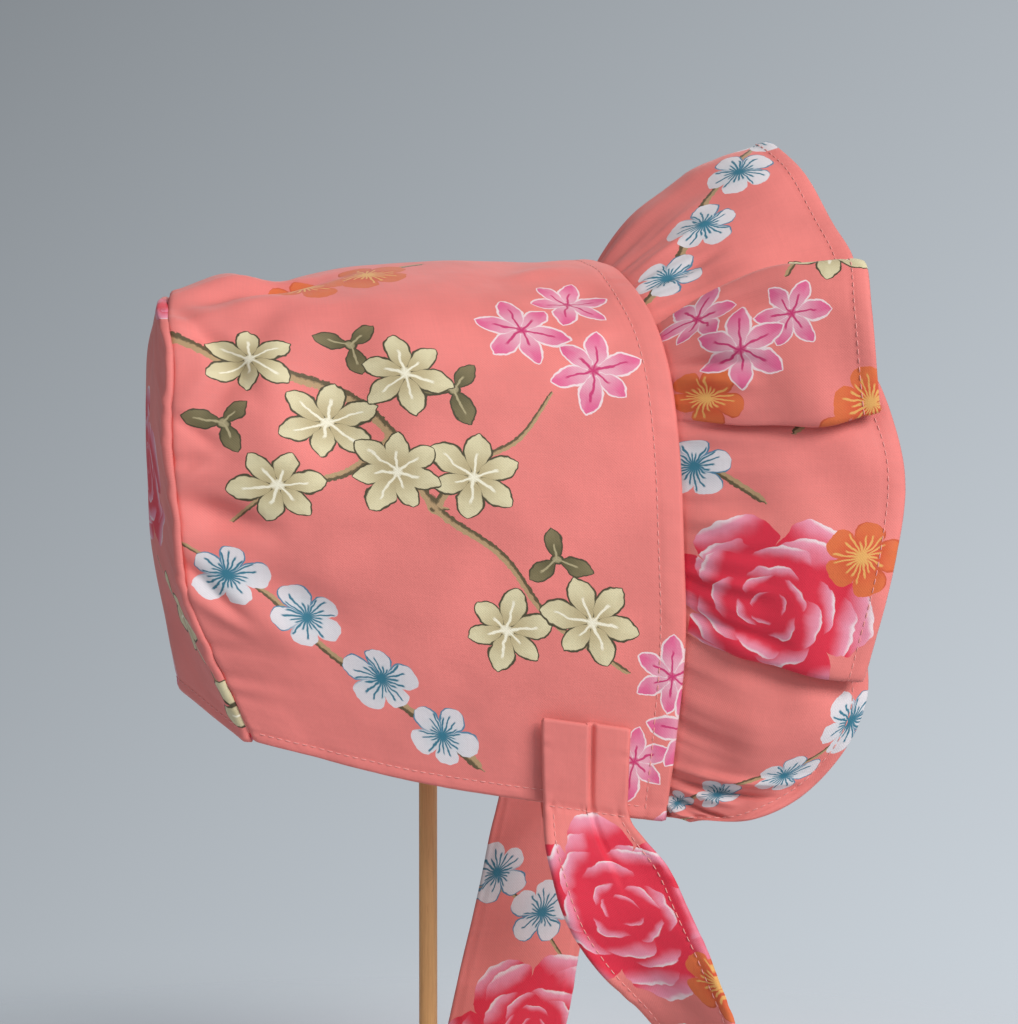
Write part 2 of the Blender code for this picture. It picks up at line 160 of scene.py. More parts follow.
def distance_of(tree, x, y):
    """The length of a flat offset: the root of the sum of both squares."""
    return maths(tree, "SQRT", maths(tree, "ADD", maths(tree, "MULTIPLY", x, x),
                                     maths(tree, "MULTIPLY", y, y)))


def from_group(tree, group, **values):
    """What a node group gives for values or outputs in its named sockets."""
    node = tree.nodes.new("ShaderNodeGroup")
    node.node_tree = group
    for name, value in values.items():
        plug(tree, value, node.inputs[name])
    return node.outputs


def relief(tree, height, strength, depth_mm, below=None):
    """The normal of a bump of some strength and depth, laid over another one where given."""
    node = tree.nodes.new("ShaderNodeBump")
    node.inputs["Strength"].default_value = strength
    node.inputs["Distance"].default_value = depth_mm * MM
    plug(tree, height, node.inputs["Height"])
    if below is not None:
        plug(tree, below, node.inputs["Normal"])
    return node.outputs["Normal"]


def smooth_between(tree, value, low, high, start=0.0, end=1.0):
    """A smooth step of a value from start to end as it goes from low to high."""
    node = tree.nodes.new("ShaderNodeMapRange")
    node.interpolation_type = "SMOOTHSTEP"
    for name, number in (("Value", value), ("From Min", low), ("From Max", high),
                         ("To Min", start), ("To Max", end)):
        plug(tree, number, node.inputs[name])
    return node.outputs["Result"]


def blend_colours(tree, share, first, second, way="MIX"):
    """Two colours mixed by a share, by plain mixing or in another named way."""
    node = tree.nodes.new("ShaderNodeMix")
    node.data_type = "RGBA"
    node.blend_type = way
    plug(tree, share, node.inputs["Factor"])
    plug(tree, first, node.inputs[6])
    plug(tree, second, node.inputs[7])
    return node.outputs[2]


def noise_of(tree, place, scale, detail=2.0, colour=False):
    """Smooth noise at a place, as one value or as a colour."""
    node = tree.nodes.new("ShaderNodeTexNoise")
    plug(tree, place, node.inputs["Vector"])
    node.inputs["Scale"].default_value = scale
    node.inputs["Detail"].default_value = detail
    return node.outputs["Color" if colour else "Fac"]


def tools_for(tree):
    """The functions above for sums, steps, blends and noise, bound to one tree."""
    return [partial(tool, tree) for tool in (maths, smooth_between, blend_colours, noise_of)]


def wood_grain_group():
    """Grain of sanded wood. Fibres are noise drawn out along one axis, and slow bands lie under
    them. Tone goes from 0, dark, to 1, pale, and Height is low in the open pores."""
    group, given, result = new_group("wood_grain", {"Place": "Vector", "Fibres": "Vector"},
                                     {"Tone": "Float", "Height": "Float"})
    do, step, _, noise = tools_for(group)
    drawn_out = vector_maths(group, "MULTIPLY", given["Place"], given["Fibres"])
    bands = noise(drawn_out, 0.35, 1.0)
    fibres = noise(drawn_out, 3.0, 3.0)
    pores = noise(drawn_out, 11.0, 1.0)
    open_pores = step(pores, 0.30, 0.42)
    tone = do("MULTIPLY_ADD", bands, 1.1, -0.30)
    tone = do("MULTIPLY_ADD", fibres, 0.75, tone)
    tone = do("MULTIPLY", tone, do("MULTIPLY_ADD", open_pores, 0.35, 0.65))
    plug(group, tone, result["Tone"])
    plug(group, do("MULTIPLY_ADD", fibres, 0.4, open_pores), result["Height"])
    return group


def wood_material(name, fibres, dark, pale):
    """Sanded wood, with its fibres drawn out by factors along the three axes."""
    finish, tree, shader = new_finish(name)
    _, step, blend, _ = tools_for(tree)
    place = tree.nodes.new("ShaderNodeTexCoord").outputs["Object"]
    grain = from_group(tree, WOOD_GRAIN, Place=place, Fibres=fibres)
    plug(tree, blend(grain["Tone"], dark, pale), shader["Base Color"])
    plug(tree, step(grain["Tone"], 0.0, 1.0, 0.62, 0.44), shader["Roughness"])
    plug(tree, relief(tree, grain["Height"], 0.35, 0.05), shader["Normal"])
    return finish


WOOD_GRAIN = wood_grain_group()
inner_edge = BASE_RADIUS - BASE_ROUNDING
base_profile = [(0.0, 0.0)]
base_profile += rounded_corner(inner_edge, BASE_ROUNDING, BASE_ROUNDING, -90.0, 0.0)
base_profile += rounded_corner(inner_edge, BASE_HEIGHT - BASE_ROUNDING, BASE_ROUNDING, 0.0, 90.0)
base_profile += [(BASE_HOLE_RADIUS + HOLE_CHAMFER, BASE_HEIGHT),
                 (BASE_HOLE_RADIUS, BASE_HEIGHT - HOLE_CHAMFER),
                 (BASE_HOLE_RADIUS, BASE_HOLE_FLOOR), (0.0, BASE_HOLE_FLOOR)]
base = add_piece(turned_mesh("turned_base", base_profile, BASE_SIDES),
                 wood_material("base_wood", BASE_FIBRES, WOOD_DARK, WOOD_PALE))
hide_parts("stand_base")

# Dowel and cap: a 6 mm rod of the same wood that stands in the base, and the small turned head
# on top of it that the crown of the bonnet rests on from inside.

DOWEL_RADIUS = 3.0
DOWEL_CHAMFER = 0.4
DOWEL_SIDES = 48
DOWEL_RINGS = 30
DOWEL_RINGS_IN = 6.0
DOWEL_FIBRES = (520.0, 520.0, 14.0)
DOWEL_PALE = (0.72, 0.39, 0.15)
DOWEL_DARK = (0.40, 0.18, 0.06)
CAP_SIDES = 64
CAP_RADIUS = 22.0
CAP_HOLE_DEPTH = 8.0
CAP_OUTLINE = (
    # radius_share, height_share
    (0.78, 0.00),
    (0.94, 0.06),
    (1.00, 0.20),
    (1.00, 0.42),
    (0.97, 0.56),
    (0.86, 0.72),
    (0.71, 0.83),
    (0.55, 0.91),
    (0.28, 0.97),
)

dowel_low, dowel_high = (corner.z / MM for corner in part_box("stand_dowel")[:2])
cap_low, cap_high = (corner.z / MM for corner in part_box("stand_cap")[:2])
dowel_profile = [(0.0, dowel_low), (DOWEL_RADIUS - DOWEL_CHAMFER, dowel_low),
                 (DOWEL_RADIUS, dowel_low + DOWEL_CHAMFER)]
dowel_profile += [(DOWEL_RADIUS, height) for height in np.linspace(
    dowel_low + DOWEL_RINGS_IN, dowel_high - DOWEL_RINGS_IN, DOWEL_RINGS)]
dowel_profile += [(DOWEL_RADIUS, dowel_high - DOWEL_CHAMFER),
                  (DOWEL_RADIUS - DOWEL_CHAMFER, dowel_high), (0.0, dowel_high)]
dowel_wood = wood_material("dowel_wood", DOWEL_FIBRES, DOWEL_DARK, DOWEL_PALE)
dowel = add_piece(turned_mesh("dowel", dowel_profile, DOWEL_SIDES), dowel_wood)
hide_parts("stand_dowel")

cap_hole_top = cap_low + CAP_HOLE_DEPTH
cap_profile = [(0.0, cap_hole_top), (BASE_HOLE_RADIUS, cap_hole_top),
               (BASE_HOLE_RADIUS, cap_low + HOLE_CHAMFER),
               (BASE_HOLE_RADIUS + HOLE_CHAMFER, cap_low)]
cap_profile += [(CAP_RADIUS * out, cap_low + (cap_high - cap_low) * up) for out, up in CAP_OUTLINE]
cap_profile += [(0.0, cap_high)]
cap = add_piece(turned_mesh("turned_cap", cap_profile, CAP_SIDES), dowel_wood)
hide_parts("stand_cap")

# Crown: the top and both sides of the bonnet in one piece of printed cotton, lined with itself.
# Its front edge and hem are folded in and topstitched, and its back edge is seamed to the panel
# behind it, where the cloth is drawn up in small puckers.

CROWN_WALL = 2.0 * MM
CROWN_LENGTH = 138.0
HEAD_MIDDLE_Z = 0.220
CLOTH_STEP = 1.4
FINE_STEP = 0.8
FINE_REACH = 9.0
CROWN_STATIONS = (
    # arch, front_x, front_y, front_z, back_x, back_y, back_z
    (0.00, 69.5, 58, 123.7, -59.1, 45, 148.9),
    (0.12, 72.6, 60, 150, -69.5, 50.5, 171),
    (0.25, 75, 62.5, 179, -79, 56.5, 193.5),
    (0.40, 74.2, 64, 211, -82.5, 59.5, 220),
    (0.55, 72.8, 63, 243, -84.5, 60, 247),
    (0.67, 70, 59, 267.5, -84, 57.5, 268),
    (0.77, 66, 49.5, 284, -85.5, 49, 281.5),
    (0.88, 60.5, 28, 296.5, -84.5, 28, 289),
    (1.00, 55.1, 0, 301.8, -83.5, 0, 290.5),
)
TOP_RISE_FROM = 0.70
SIDE_SWELL_TO = 0.90
HEM_SAG_TO = 0.25
CROWN_FULLNESS = (
    # depth, top_rise, side_swell, hem_sag
    (0.00, 0, 0, 0),
    (0.08, 1, 0.4, 0.9),
    (0.25, 2.6, 1.8, 1.4),
    (0.42, 3.9, 3, 2.6),
    (0.55, 4.2, 3.4, 3.2),
    (0.70, 2.4, 2.8, 2.6),
    (0.76, 1.2, 2.4, 2.2),
    (0.86, 5, 1.4, 1.2),
    (1.00, 0, 0, 0),
)
CROWN_HOLLOWS = (
    # arch, depth, arch_reach, depth_reach, hollow
    (0.58, 0.70, 0.13, 0.10, 3),
    (0.66, 0.90, 0.06, 0.035, 2.2),
    (0.40, 0.93, 0.04, 0.05, 2),
    (0.80, 0.88, 0.05, 0.07, 2.4),
    (0.20, 0.72, 0.10, 0.14, 2.6),
    (0.80, 0.10, 0.06, 0.08, 2.2),
    (0.10, 0.45, 0.08, 0.22, 1.4),
)
FRONT_STITCH_IN = 6.7
HEM_STITCH_IN = 3.8
STITCH_PITCH = 2.7
PUCKER_REACH = 13.0
PUCKER_HEIGHT = 0.75
SEAM_CURL = 1.0
SEAM_CURL_REACH = 2.4
CROWN_CREASES = (
    # depth_mm, way_mm, end_depth_mm, end_way_mm, width, height
    (78, -14, 138, -47, 4.2, -3),
    (92, -15, 140, -36, 3.8, 2.2),
    (132, -92, 104, -44, 5.5, -2.8),
    (140, -96, 114, -60, 4.6, 2.2),
    (140, -60, 98, -38, 4.8, 1.8),
    (140, -38, 112, -92, 3.4, -2.6),
    (141, -89, 121, -107, 2.2, -1.4),
    (141, -121, 122, -101, 2.4, 1.4),
    (140, -120, 108, -131, 4.2, -3),
    (94, -50, 86, -124, 11, -3.8),
    (114, -62, 110, -112, 8, 2),
    (122, -142, 92, -163, 8.5, -3),
    (132, -140, 110, -174, 6, 1.6),
    (141, -138, 122, -162, 2.2, -1.8),
    (141, -150, 120, -168, 2.8, 1.5),
    (62, -120, 40, -168, 14, -1.4),
    (12, -22, 40, -34, 4, 1.4),
    (8, -40, 34, -52, 4.2, -1.5),
    (10, -60, 30, -70, 4, 1.2),
    (80, 16, 138, 46, 4.2, -2.6),
    (132, 88, 104, 48, 5.5, -2.4),
    (138, 126, 114, 110, 4.8, -2.2),
    (92, 58, 84, 122, 14, -3),
    (108, 140, 80, 174, 12, -2.4),
    (10, 40, 34, 54, 4.2, -1.4),
)
CORAL = (0.705, 0.187, 0.168)
REVERSE_CORAL = (0.80, 0.30, 0.26)
INSIDE_FADE = 0.55
INNER_FOLLOW = 0.8
CROWN_ROLLS = (0.30, 0.05, 0.30, 0.30)
CROWN_CUT = ((10.0, 215.0), 0.0)
ARCH_SAMPLES = 1201
THREAD_PINK = (0.82, 0.33, 0.30)


def smooth_step(low, high, value):
    """From 0 at low to 1 at high: the share squared, times three less twice the share."""
    share = np.clip((value - low) / (high - low), 0.0, 1.0)
    return share * share * (3.0 - 2.0 * share)


def unit(vectors):
    """Vectors divided by their lengths."""
    return vectors / np.maximum(np.linalg.norm(vectors, axis=-1, keepdims=True), 1e-12)


def way_along(points, axis=0):
    """Length of the straight ways from the first point to each, along an axis of points."""
    steps = np.linalg.norm(np.diff(points, axis=axis), axis=-1)
    return np.concatenate((0.0 * np.take(steps, [0], axis), np.cumsum(steps, axis)), axis)


def spline(knots, rows, at):
    """Smooth curve through rows at growing knots: a cubic whose slope at a row is the weighted
    mean of the straight slopes on both sides of it."""
    knots = np.asarray(knots, dtype=float)
    rows = np.asarray(rows, dtype=float)
    steps = np.diff(knots)
    straight = np.diff(rows, axis=0) / steps[:, None]
    slopes = np.empty_like(rows)
    slopes[0] = straight[0]
    slopes[-1] = straight[-1]
    weight = (steps[:-1] / (steps[:-1] + steps[1:]))[:, None]
    slopes[1:-1] = straight[:-1] * (1.0 - weight) + straight[1:] * weight
    at = np.asarray(at, dtype=float)
    span = np.clip(np.searchsorted(knots, at, side="right") - 1, 0, len(steps) - 1)
    step = steps[span]
    share = ((at - knots[span]) / step)[..., None]
    step = step[..., None]
    rise = share * share * (3.0 - 2.0 * share)
    leave = share * (1.0 - share) ** 2
    arrive = share * share * (share - 1.0)
    return (rows[span] * (1.0 - rise) + rows[span + 1] * rise
            + (slopes[span] * leave + slopes[span + 1] * arrive) * step)


def both_halves(rows, knot_column, y_columns):
    """Table rows of one half made into rows from the near hem over the top to the far hem."""
    half = np.asarray(rows, dtype=float)
    near = half.copy()
    near[:, y_columns] *= -1.0
    far = half[-2::-1].copy()
    far[:, knot_column] = 2.0 - far[:, knot_column]
    return np.vstack((near, far))


def away_from_head(points):
    """Direction across the view from the front, away from the middle of the head."""
    level = points[..., 2] - HEAD_MIDDLE_Z
    return unit(np.stack((np.zeros_like(level), points[..., 1], level), axis=-1))


def crown_point(arch, depth):
    """Outer face of the crown without its wrinkles: straight lines from the front edge (depth 0)
    to the back seam (depth 1), raised by the fullness table and pressed in at the hollows. Arch
    runs from 0 at the near hem over 1 at the top to 2 at the far hem."""
    arch, depth = np.broadcast_arrays(arch, depth)
    stations = both_halves(CROWN_STATIONS, 0, [2, 5])
    placed = spline(stations[:, 0], stations[:, 1:], arch) * MM
    front = placed[..., :3]
    back = placed[..., 3:]
    point = front + (back - front) * depth[..., None]
    fullness = np.asarray(CROWN_FULLNESS)
    rise, swell, sag = np.moveaxis(spline(fullness[:, 0], fullness[:, 1:], depth) * MM, -1, 0)
    climb = 1.0 - np.abs(arch - 1.0)
    point[..., 2] += rise * smooth_step(TOP_RISE_FROM, 1.0, climb)
    point[..., 2] -= sag * (1.0 - smooth_step(0.0, HEM_SAG_TO, climb))
    swelling = swell * np.sin(np.pi * np.clip(climb / SIDE_SWELL_TO, 0.0, 1.0))
    point[..., 1] += np.sign(arch - 1.0) * swelling
    inward = -away_from_head(point)
    for row_arch, row_depth, arch_reach, depth_reach, hollow in CROWN_HOLLOWS:
        away = ((climb - row_arch) / arch_reach) ** 2 + ((depth - row_depth) / depth_reach) ** 2
        point += inward * (hollow * MM * np.exp(-away))[..., None]
    return point


def crown_frame(arch, depth):
    """A point of the crown, and its outward normal from the cross product of its slopes."""
    small = 0.002
    along_arch = crown_point(arch + small, depth) - crown_point(arch - small, depth)
    along_depth = crown_point(arch, depth + small) - crown_point(arch, depth - small)
    return crown_point(arch, depth), unit(np.cross(along_arch, along_depth))


def grid_normals(grid):
    """Unit normals of a grid of points: the cross product of its slopes along columns and rows."""
    return unit(np.cross(np.gradient(grid, axis=1), np.gradient(grid, axis=0)))


def rows_close_at_ends(length, step, fine, reach):
    """Places from 0 to a length, a fine step apart within reach of both ends."""
    ends = np.linspace(0.0, reach, int(round(reach / fine)) + 1)
    middle = np.linspace(reach, length - reach, int(round((length - 2.0 * reach) / step)) + 1)
    return np.concatenate((ends, middle[1:-1], length - ends[::-1]))


def soft_waves(flat, seed, length, height):
    """Slow unevenness of cloth: the mean of plane waves of about one length, in directions and
    phases drawn from a seed."""
    draw = np.random.default_rng(seed)
    total = np.zeros(flat.shape[:-1])
    for angle, phase, stretch in zip(draw.uniform(0.0, np.pi, 7), draw.uniform(0.0, 6.3, 7),
                                     draw.uniform(0.7, 1.5, 7)):
        along = flat[..., 0] * np.cos(angle) + flat[..., 1] * np.sin(angle)
        total += np.sin(along * FULL_TURN / (length * stretch) + phase)
    return total * height / 2.6


def creases(flat, table):
    """Ridges and grooves along straight lines on the flat cloth: a bell across each line, that
    fades in and out along it with a sine."""
    total = np.zeros(flat.shape[:-1])
    for start_x, start_y, end_x, end_y, width, height in table:
        start = np.array((start_x, start_y))
        run = np.array((end_x, end_y)) - start
        length = np.linalg.norm(run)
        along = ((flat - start) @ run) / length ** 2
        off = (flat[..., 0] - start_x) * run[1] - (flat[..., 1] - start_y) * run[0]
        swell = np.sin(np.pi * np.clip(along, 0.0, 1.0))
        total += height * swell * np.exp(-((off / length / width) ** 2))
    return total


def puckers(way, seed, pitch):
    """Irregular small waves along a seam, from about -1 to 1: three sines of near pitches, one of
    them bent by the slowest, in a slow swell."""
    draw = np.random.default_rng(seed)
    phase = draw.uniform(0.0, 6.3, 4)
    slow = np.sin(way * FULL_TURN / (pitch * 5.3) + phase[0])
    swell = 0.62 + 0.48 * np.sin(way * FULL_TURN / (pitch * 3.1) + phase[2])
    return swell * (0.55 * np.sin(way * FULL_TURN / pitch + 1.7 * slow + phase[1])
                    + 0.35 * np.sin(way * FULL_TURN / (pitch * 1.62) + phase[2])
                    + 0.25 * np.sin(way * FULL_TURN / (pitch * 0.61) + 2.0 * slow + phase[3]))


HEM_SWELL = 0.30
STITCH_GROOVE = 0.22
STITCH_GROOVE_WIDTH = 0.9


def folded_hem(distance, stitch_in):
    """Height across a folded and stitched edge: a low swell between the edge and the stitches,
    and a groove along them."""
    swell = np.sin(np.pi * np.clip(distance / stitch_in, 0.0, 1.0)) ** 0.7
    groove = np.exp(-(((distance - stitch_in) / STITCH_GROOVE_WIDTH) ** 2))
    return HEM_SWELL * swell - STITCH_GROOVE * groove


def seam_puckers(way, from_seam, seed, pitch):
    """Puckers along a seam, which die out away from it."""
    return PUCKER_HEIGHT * puckers(way, seed, pitch) * np.exp(-((from_seam / PUCKER_REACH) ** 1.3))


def seam_curl(from_seam):
    """Depth of the quarter round by which cloth turns down into a seam."""
    share = np.clip(1.0 - from_seam / SEAM_CURL_REACH, 0.0, 1.0)
    return SEAM_CURL * (1.0 - np.sqrt(1.0 - share ** 2))


def keep_values(mesh, name, domain, values, kind="FLOAT_VECTOR", field="vector"):
    """Values of every face or corner kept on a mesh under a name, for its material to read."""
    layer = mesh.attributes.new(name, kind, domain)
    layer.data.foreach_set(field, values.astype(np.float32).ravel())


def cloth_shell(name, base, height, wall, flat, rolls, follow):
    """Closed cloth round a grid. The outer face stands off the base by height along its normal,
    and the inner one lies a wall inside the base and follows a share of that height. A rim joins
    them that swells out by each side's roll, a share of the wall, given for the first and last
    row and the first and last column. Normals are turned to the side where the base's middle
    faces away from the head."""
    rows, columns = base.shape[:2]
    normal = grid_normals(base)
    middle = (rows // 2, columns // 2)
    outward = away_from_head(base[middle]) + np.array((-0.3, 0.0, 0.0))
    turned = float(np.dot(normal[middle], outward)) < 0.0
    if turned:
        normal = -normal
    lifted = (height * MM)[..., None]
    outer = base + normal * lifted
    inner = base + normal * (lifted * follow - wall)

    index = np.arange(rows * columns).reshape(rows, columns)
    border = np.concatenate((index[0, :-1], index[:-1, -1], index[-1, :0:-1], index[:0:-1, 0]))
    inside = np.concatenate((index[1, :-1], index[:-1, -2], index[-2, :0:-1], index[:0:-1, 1]))
    first_row, last_row, first_column, last_column = rolls
    roll = np.concatenate((np.full(columns - 1, first_row), np.full(rows - 1, last_column),
                           np.full(columns - 1, last_row), np.full(rows - 1, first_column)))
    flat_outer = outer.reshape(-1, 3)
    flat_inner = inner.reshape(-1, 3)
    out_of_edge = unit(flat_outer[border] - flat_outer[inside])
    rim = (flat_outer[border] + flat_inner[border]) / 2.0 + out_of_edge * (roll * wall)[:, None]

    count = rows * columns
    corner = index[:-1, :-1].ravel()
    sheet = np.stack((corner, corner + 1, corner + columns + 1, corner + columns), axis=1)
    here = np.arange(len(border))
    after = (here + 1) % len(border)
    rim_index = 2 * count + here
    rim_after = 2 * count + after
    near_rim = np.stack((border[after], border, rim_index, rim_after), axis=1)
    far_rim = np.stack((rim_after, rim_index, border + count, border[after] + count), axis=1)
    faces = np.vstack((sheet, sheet[:, ::-1] + count, near_rim, far_rim))
    if turned:
        faces = faces[:, ::-1]
    points = np.vstack((flat_outer, flat_inner, rim))
    on_flat = flat.reshape(-1, 2)
    on_flat = np.vstack((on_flat, on_flat, on_flat[border]))
    reverse = np.zeros(len(faces))
    reverse[len(sheet):2 * len(sheet)] = 1.0

    mesh = new_mesh(name, points, faces.tolist())
    corners = on_flat[faces]
    layer = mesh.uv_layers.new(name="flat")
    layer.data.foreach_set("uv", (corners.ravel() * MM).astype(np.float32))
    keep_values(mesh, "reverse", "FACE", reverse, "FLOAT", "value")
    return mesh, corners, outer, normal


# The print is charted once, over a repeat of the cloth, and every panel is cut from it. Places
# and sizes are in millimetres and turns in degrees. The under layer of small motifs lies below
# the roses and the over layer above them.

REPEAT = np.array((300.0, 280.0))
MOTIFS = {
    # petals, roundness, palette, x, y, radius, turn
    "under": (
        (3, 0.30, 4, 98, 149, 12, 20),
        (3, 0.30, 4, 71, 133, 12, 130),
        (3, 0.30, 4, 134, 121, 12, 250),
        (6, 0.42, 0, 106, 123, 15, 10),
        (6, 0.42, 0, 67, 106, 15, 70),
        (3, 0.30, 4, 45, 82, 12, 200),
        (6, 0.38, 0, 60, 59, 15, 15),
        (6, 0.22, 1, 31, 139, 14.5, 15),
        (6, 0.22, 1, 32, 167, 13.5, 80),
        (5, 0.90, 2, 116, 56, 12.5, 0),
        (5, 0.85, 2, 82, 22, 11.5, 50),
        (5, 0.95, 3, 88, 190, 13.5, 0),
        (5, 0.85, 2, 186, 92, 12.5, 50),
        (5, 0.85, 2, 229, 98, 12, 30),
        (5, 0.95, 3, 268, 58, 13.5, 12),
        (6, 0.22, 1, 22, 23, 14, 5),
        (6, 0.22, 1, 13, 50, 13.5, 60),
        (5, 0.95, 3, 288, 22, 13, 35),
        (6, 0.38, 0, 170, 160, 15, 25),
        (6, 0.22, 1, 262, 201, 14.5, 5),
        (6, 0.22, 1, 256, 228, 12.5, 65),
        (5, 0.88, 2, 258, 2, 11.5, 45),
        (5, 0.95, 3, 40, 232, 13.5, 20),
        (6, 0.40, 0, 106, 238, 15, 0),
    ),
    "over": (
        (6, 0.36, 0, 84, 138, 15.5, 50),
        (7, 0.38, 0, 88, 107, 15, 95),
        (6, 0.40, 0, 120, 101, 15, 20),
        (6, 0.36, 0, 127, 143, 14, 5),
        (6, 0.40, 0, 36, 64, 15.5, 40),
        (6, 0.22, 1, 49, 153, 15, 48),
        (5, 0.85, 2, 136, 70, 12.5, 33),
        (5, 0.88, 2, 98, 38, 12, 20),
        (5, 0.95, 3, 108, 183, 13, 25),
        (5, 0.88, 2, 166, 103, 12.5, 20),
        (5, 0.90, 2, 205, 106, 12.5, 10),
        (5, 0.88, 2, 248, 113, 12, 60),
        (5, 0.95, 3, 210, 64, 13, 12),
        (5, 0.95, 3, 284, 72, 13, 60),
        (6, 0.22, 1, 4, 34, 15.5, 35),
        (7, 0.40, 0, 194, 184, 15, 75),
        (6, 0.22, 1, 280, 217, 14.5, 40),
        (5, 0.88, 2, 240, 16, 12, 5),
        (5, 0.88, 2, 60, 246, 12.5, 15),
        (6, 0.38, 0, 128, 252, 15, 55),
    ),
}
ROSES = (
    # x, y, radius, turn
    (190, 38, 35, 0),
    (252, 156, 31, 140),
    (216, 226, 28, 250),
    (8, 262, 27, 60),
)
TWIGS = (
    # thickness, then the x and y of points along it
    (4.4, ((148, 152), (126, 140), (104, 134), (88, 118), (78, 96),
           (60, 82), (48, 64), (26, 50))),
    (3.2, ((88, 118), (102, 106), (120, 100), (134, 88))),
    (2.8, ((78, 96), (70, 108), (54, 118), (44, 132))),
    (3.6, ((72, 14), (90, 28), (112, 44), (126, 64), (148, 80))),
    (3.2, ((152, 112), (176, 98), (206, 100), (236, 106), (258, 128))),
    (2.8, ((254, 46), (274, 62), (290, 84))),
    (3.2, ((150, 140), (176, 170), (208, 198))),
    (2.6, ((228, 34), (246, 14), (270, -8))),
    (2.6, ((28, 222), (48, 240), (78, 256))),
    (3.2, ((92, 224), (114, 246), (146, 270))),
    (2.6, ((70, 200), (92, 190), (122, 176))),
)


MOTIF_REACH = 1.15
TWIG_SAMPLES = 40
TWIG_TAPER = 0.65
FAR_OFF = 9.0


def in_repeat(offset):
    """An offset on the cloth brought to the nearest copy of the repeat."""
    return (offset + REPEAT / 2.0) % REPEAT - REPEAT / 2.0


def lay_motifs(mesh, name, cloth, rows, forms):
    """Gives every face within a motif's reach that motif's own coordinates, in its radii and
    turned with it, as one value a corner, with a seed as the third. A face that no motif reaches
    lies far off. The forms, one a motif, go on the faces."""
    centre = cloth.mean(axis=1)
    nearest = np.full(len(cloth), MOTIF_REACH)
    place = np.full(cloth.shape[:2] + (3,), FAR_OFF)
    form = np.zeros((len(cloth), 3))
    for number, (x, y, radius, turn) in enumerate(rows):
        offset = in_repeat(centre - (x, y))
        reach = np.linalg.norm(offset, axis=1) / radius
        chosen = reach < nearest
        nearest[chosen] = reach[chosen]
        local = (offset[chosen, None] + cloth[chosen] - centre[chosen, None]) / radius
        cosine, sine = np.cos(np.radians(turn)), np.sin(np.radians(turn))
        place[chosen, :, 0] = local[..., 0] * cosine + local[..., 1] * sine
        place[chosen, :, 1] = local[..., 1] * cosine - local[..., 0] * sine
        place[chosen, :, 2] = 0.37 * number % 1.0
        form[chosen] = forms[number]
    keep_values(mesh, name, "CORNER", place)
    keep_values(mesh, name + "_form", "FACE", form)


def lay_twigs(mesh, cloth):
    """Gives every corner its distance from the nearest twig, in half thicknesses and with a sign
    for its side, its way along that twig, and the same distance with no sign, which tells the
    cloth past a tip from the twig. A twig tapers to a third at its tip."""
    points = cloth.reshape(-1, 2)
    best = np.full(len(points), FAR_OFF)
    place = np.full((len(points), 3), FAR_OFF)
    for thickness, stops in TWIGS:
        stops = np.array(stops)
        knots = way_along(stops)
        line = spline(knots, stops, np.linspace(0.0, knots[-1], TWIG_SAMPLES))
        middle = line[len(line) // 2]
        local = in_repeat(points - middle) + middle
        close = np.linalg.norm(local - middle, axis=1) < knots[-1] * 0.55 + 6.0
        for step, (start, end) in enumerate(zip(line[:-1], line[1:])):
            run = end - start
            along = np.clip(((local[close] - start) @ run) / (run @ run), 0.0, 1.0)
            off = local[close] - start - along[:, None] * run
            share = (step + along) / (len(line) - 1)
            half = thickness / 2.0 * (1.0 - TWIG_TAPER * share)
            across = np.linalg.norm(off, axis=1) / half
            side = np.sign(off[:, 0] * run[1] - off[:, 1] * run[0])
            nearer = across < best[close]
            where = np.flatnonzero(close)[nearer]
            best[where] = across[nearer]
            place[where, 0] = (across * side)[nearer]
            place[where, 1] = share[nearer] * knots[-1] / 10.0
            place[where, 2] = across[nearer]
    keep_values(mesh, "twig", "CORNER", place)


def print_cloth(mesh, corners, cut_at, cut_turn):
    """Lays the print on a panel that is cut from the cloth at a place and a turn in degrees."""
    cosine, sine = np.cos(np.radians(cut_turn)), np.sin(np.radians(cut_turn))
    turned = np.stack((corners[..., 0] * cosine - corners[..., 1] * sine,
                       corners[..., 0] * sine + corners[..., 1] * cosine), axis=-1)
    cloth = turned + np.array(cut_at)
    for layer, motifs in MOTIFS.items():
        lay_motifs(mesh, "flower_" + layer, cloth, [motif[3:] for motif in motifs],
                   [motif[:3] for motif in motifs])
    lay_motifs(mesh, "rose", cloth, ROSES, np.zeros((len(ROSES), 3)))
    lay_twigs(mesh, cloth)


def separate(tree, vector):
    """The three parts of a vector."""
    node = tree.nodes.new("ShaderNodeSeparateXYZ")
    plug(tree, vector, node.inputs[0])
    return node.outputs[0], node.outputs[1], node.outputs[2]


def colour_steps(tree, value, colours):
    """One of several colours, picked by a whole number from 0 up."""
    node = tree.nodes.new("ShaderNodeValToRGB")
    ramp = node.color_ramp
    ramp.interpolation = "CONSTANT"
    while len(ramp.elements) < len(colours):
        ramp.elements.new(1.0)
    for number, colour in enumerate(colours):
        ramp.elements[number].position = max(0.0, (number - 0.5) / len(colours))
        ramp.elements[number].color = (*colour, 1.0)
    plug(tree, maths(tree, "DIVIDE", value, float(len(colours))), node.inputs[0])
    return node.outputs[0]


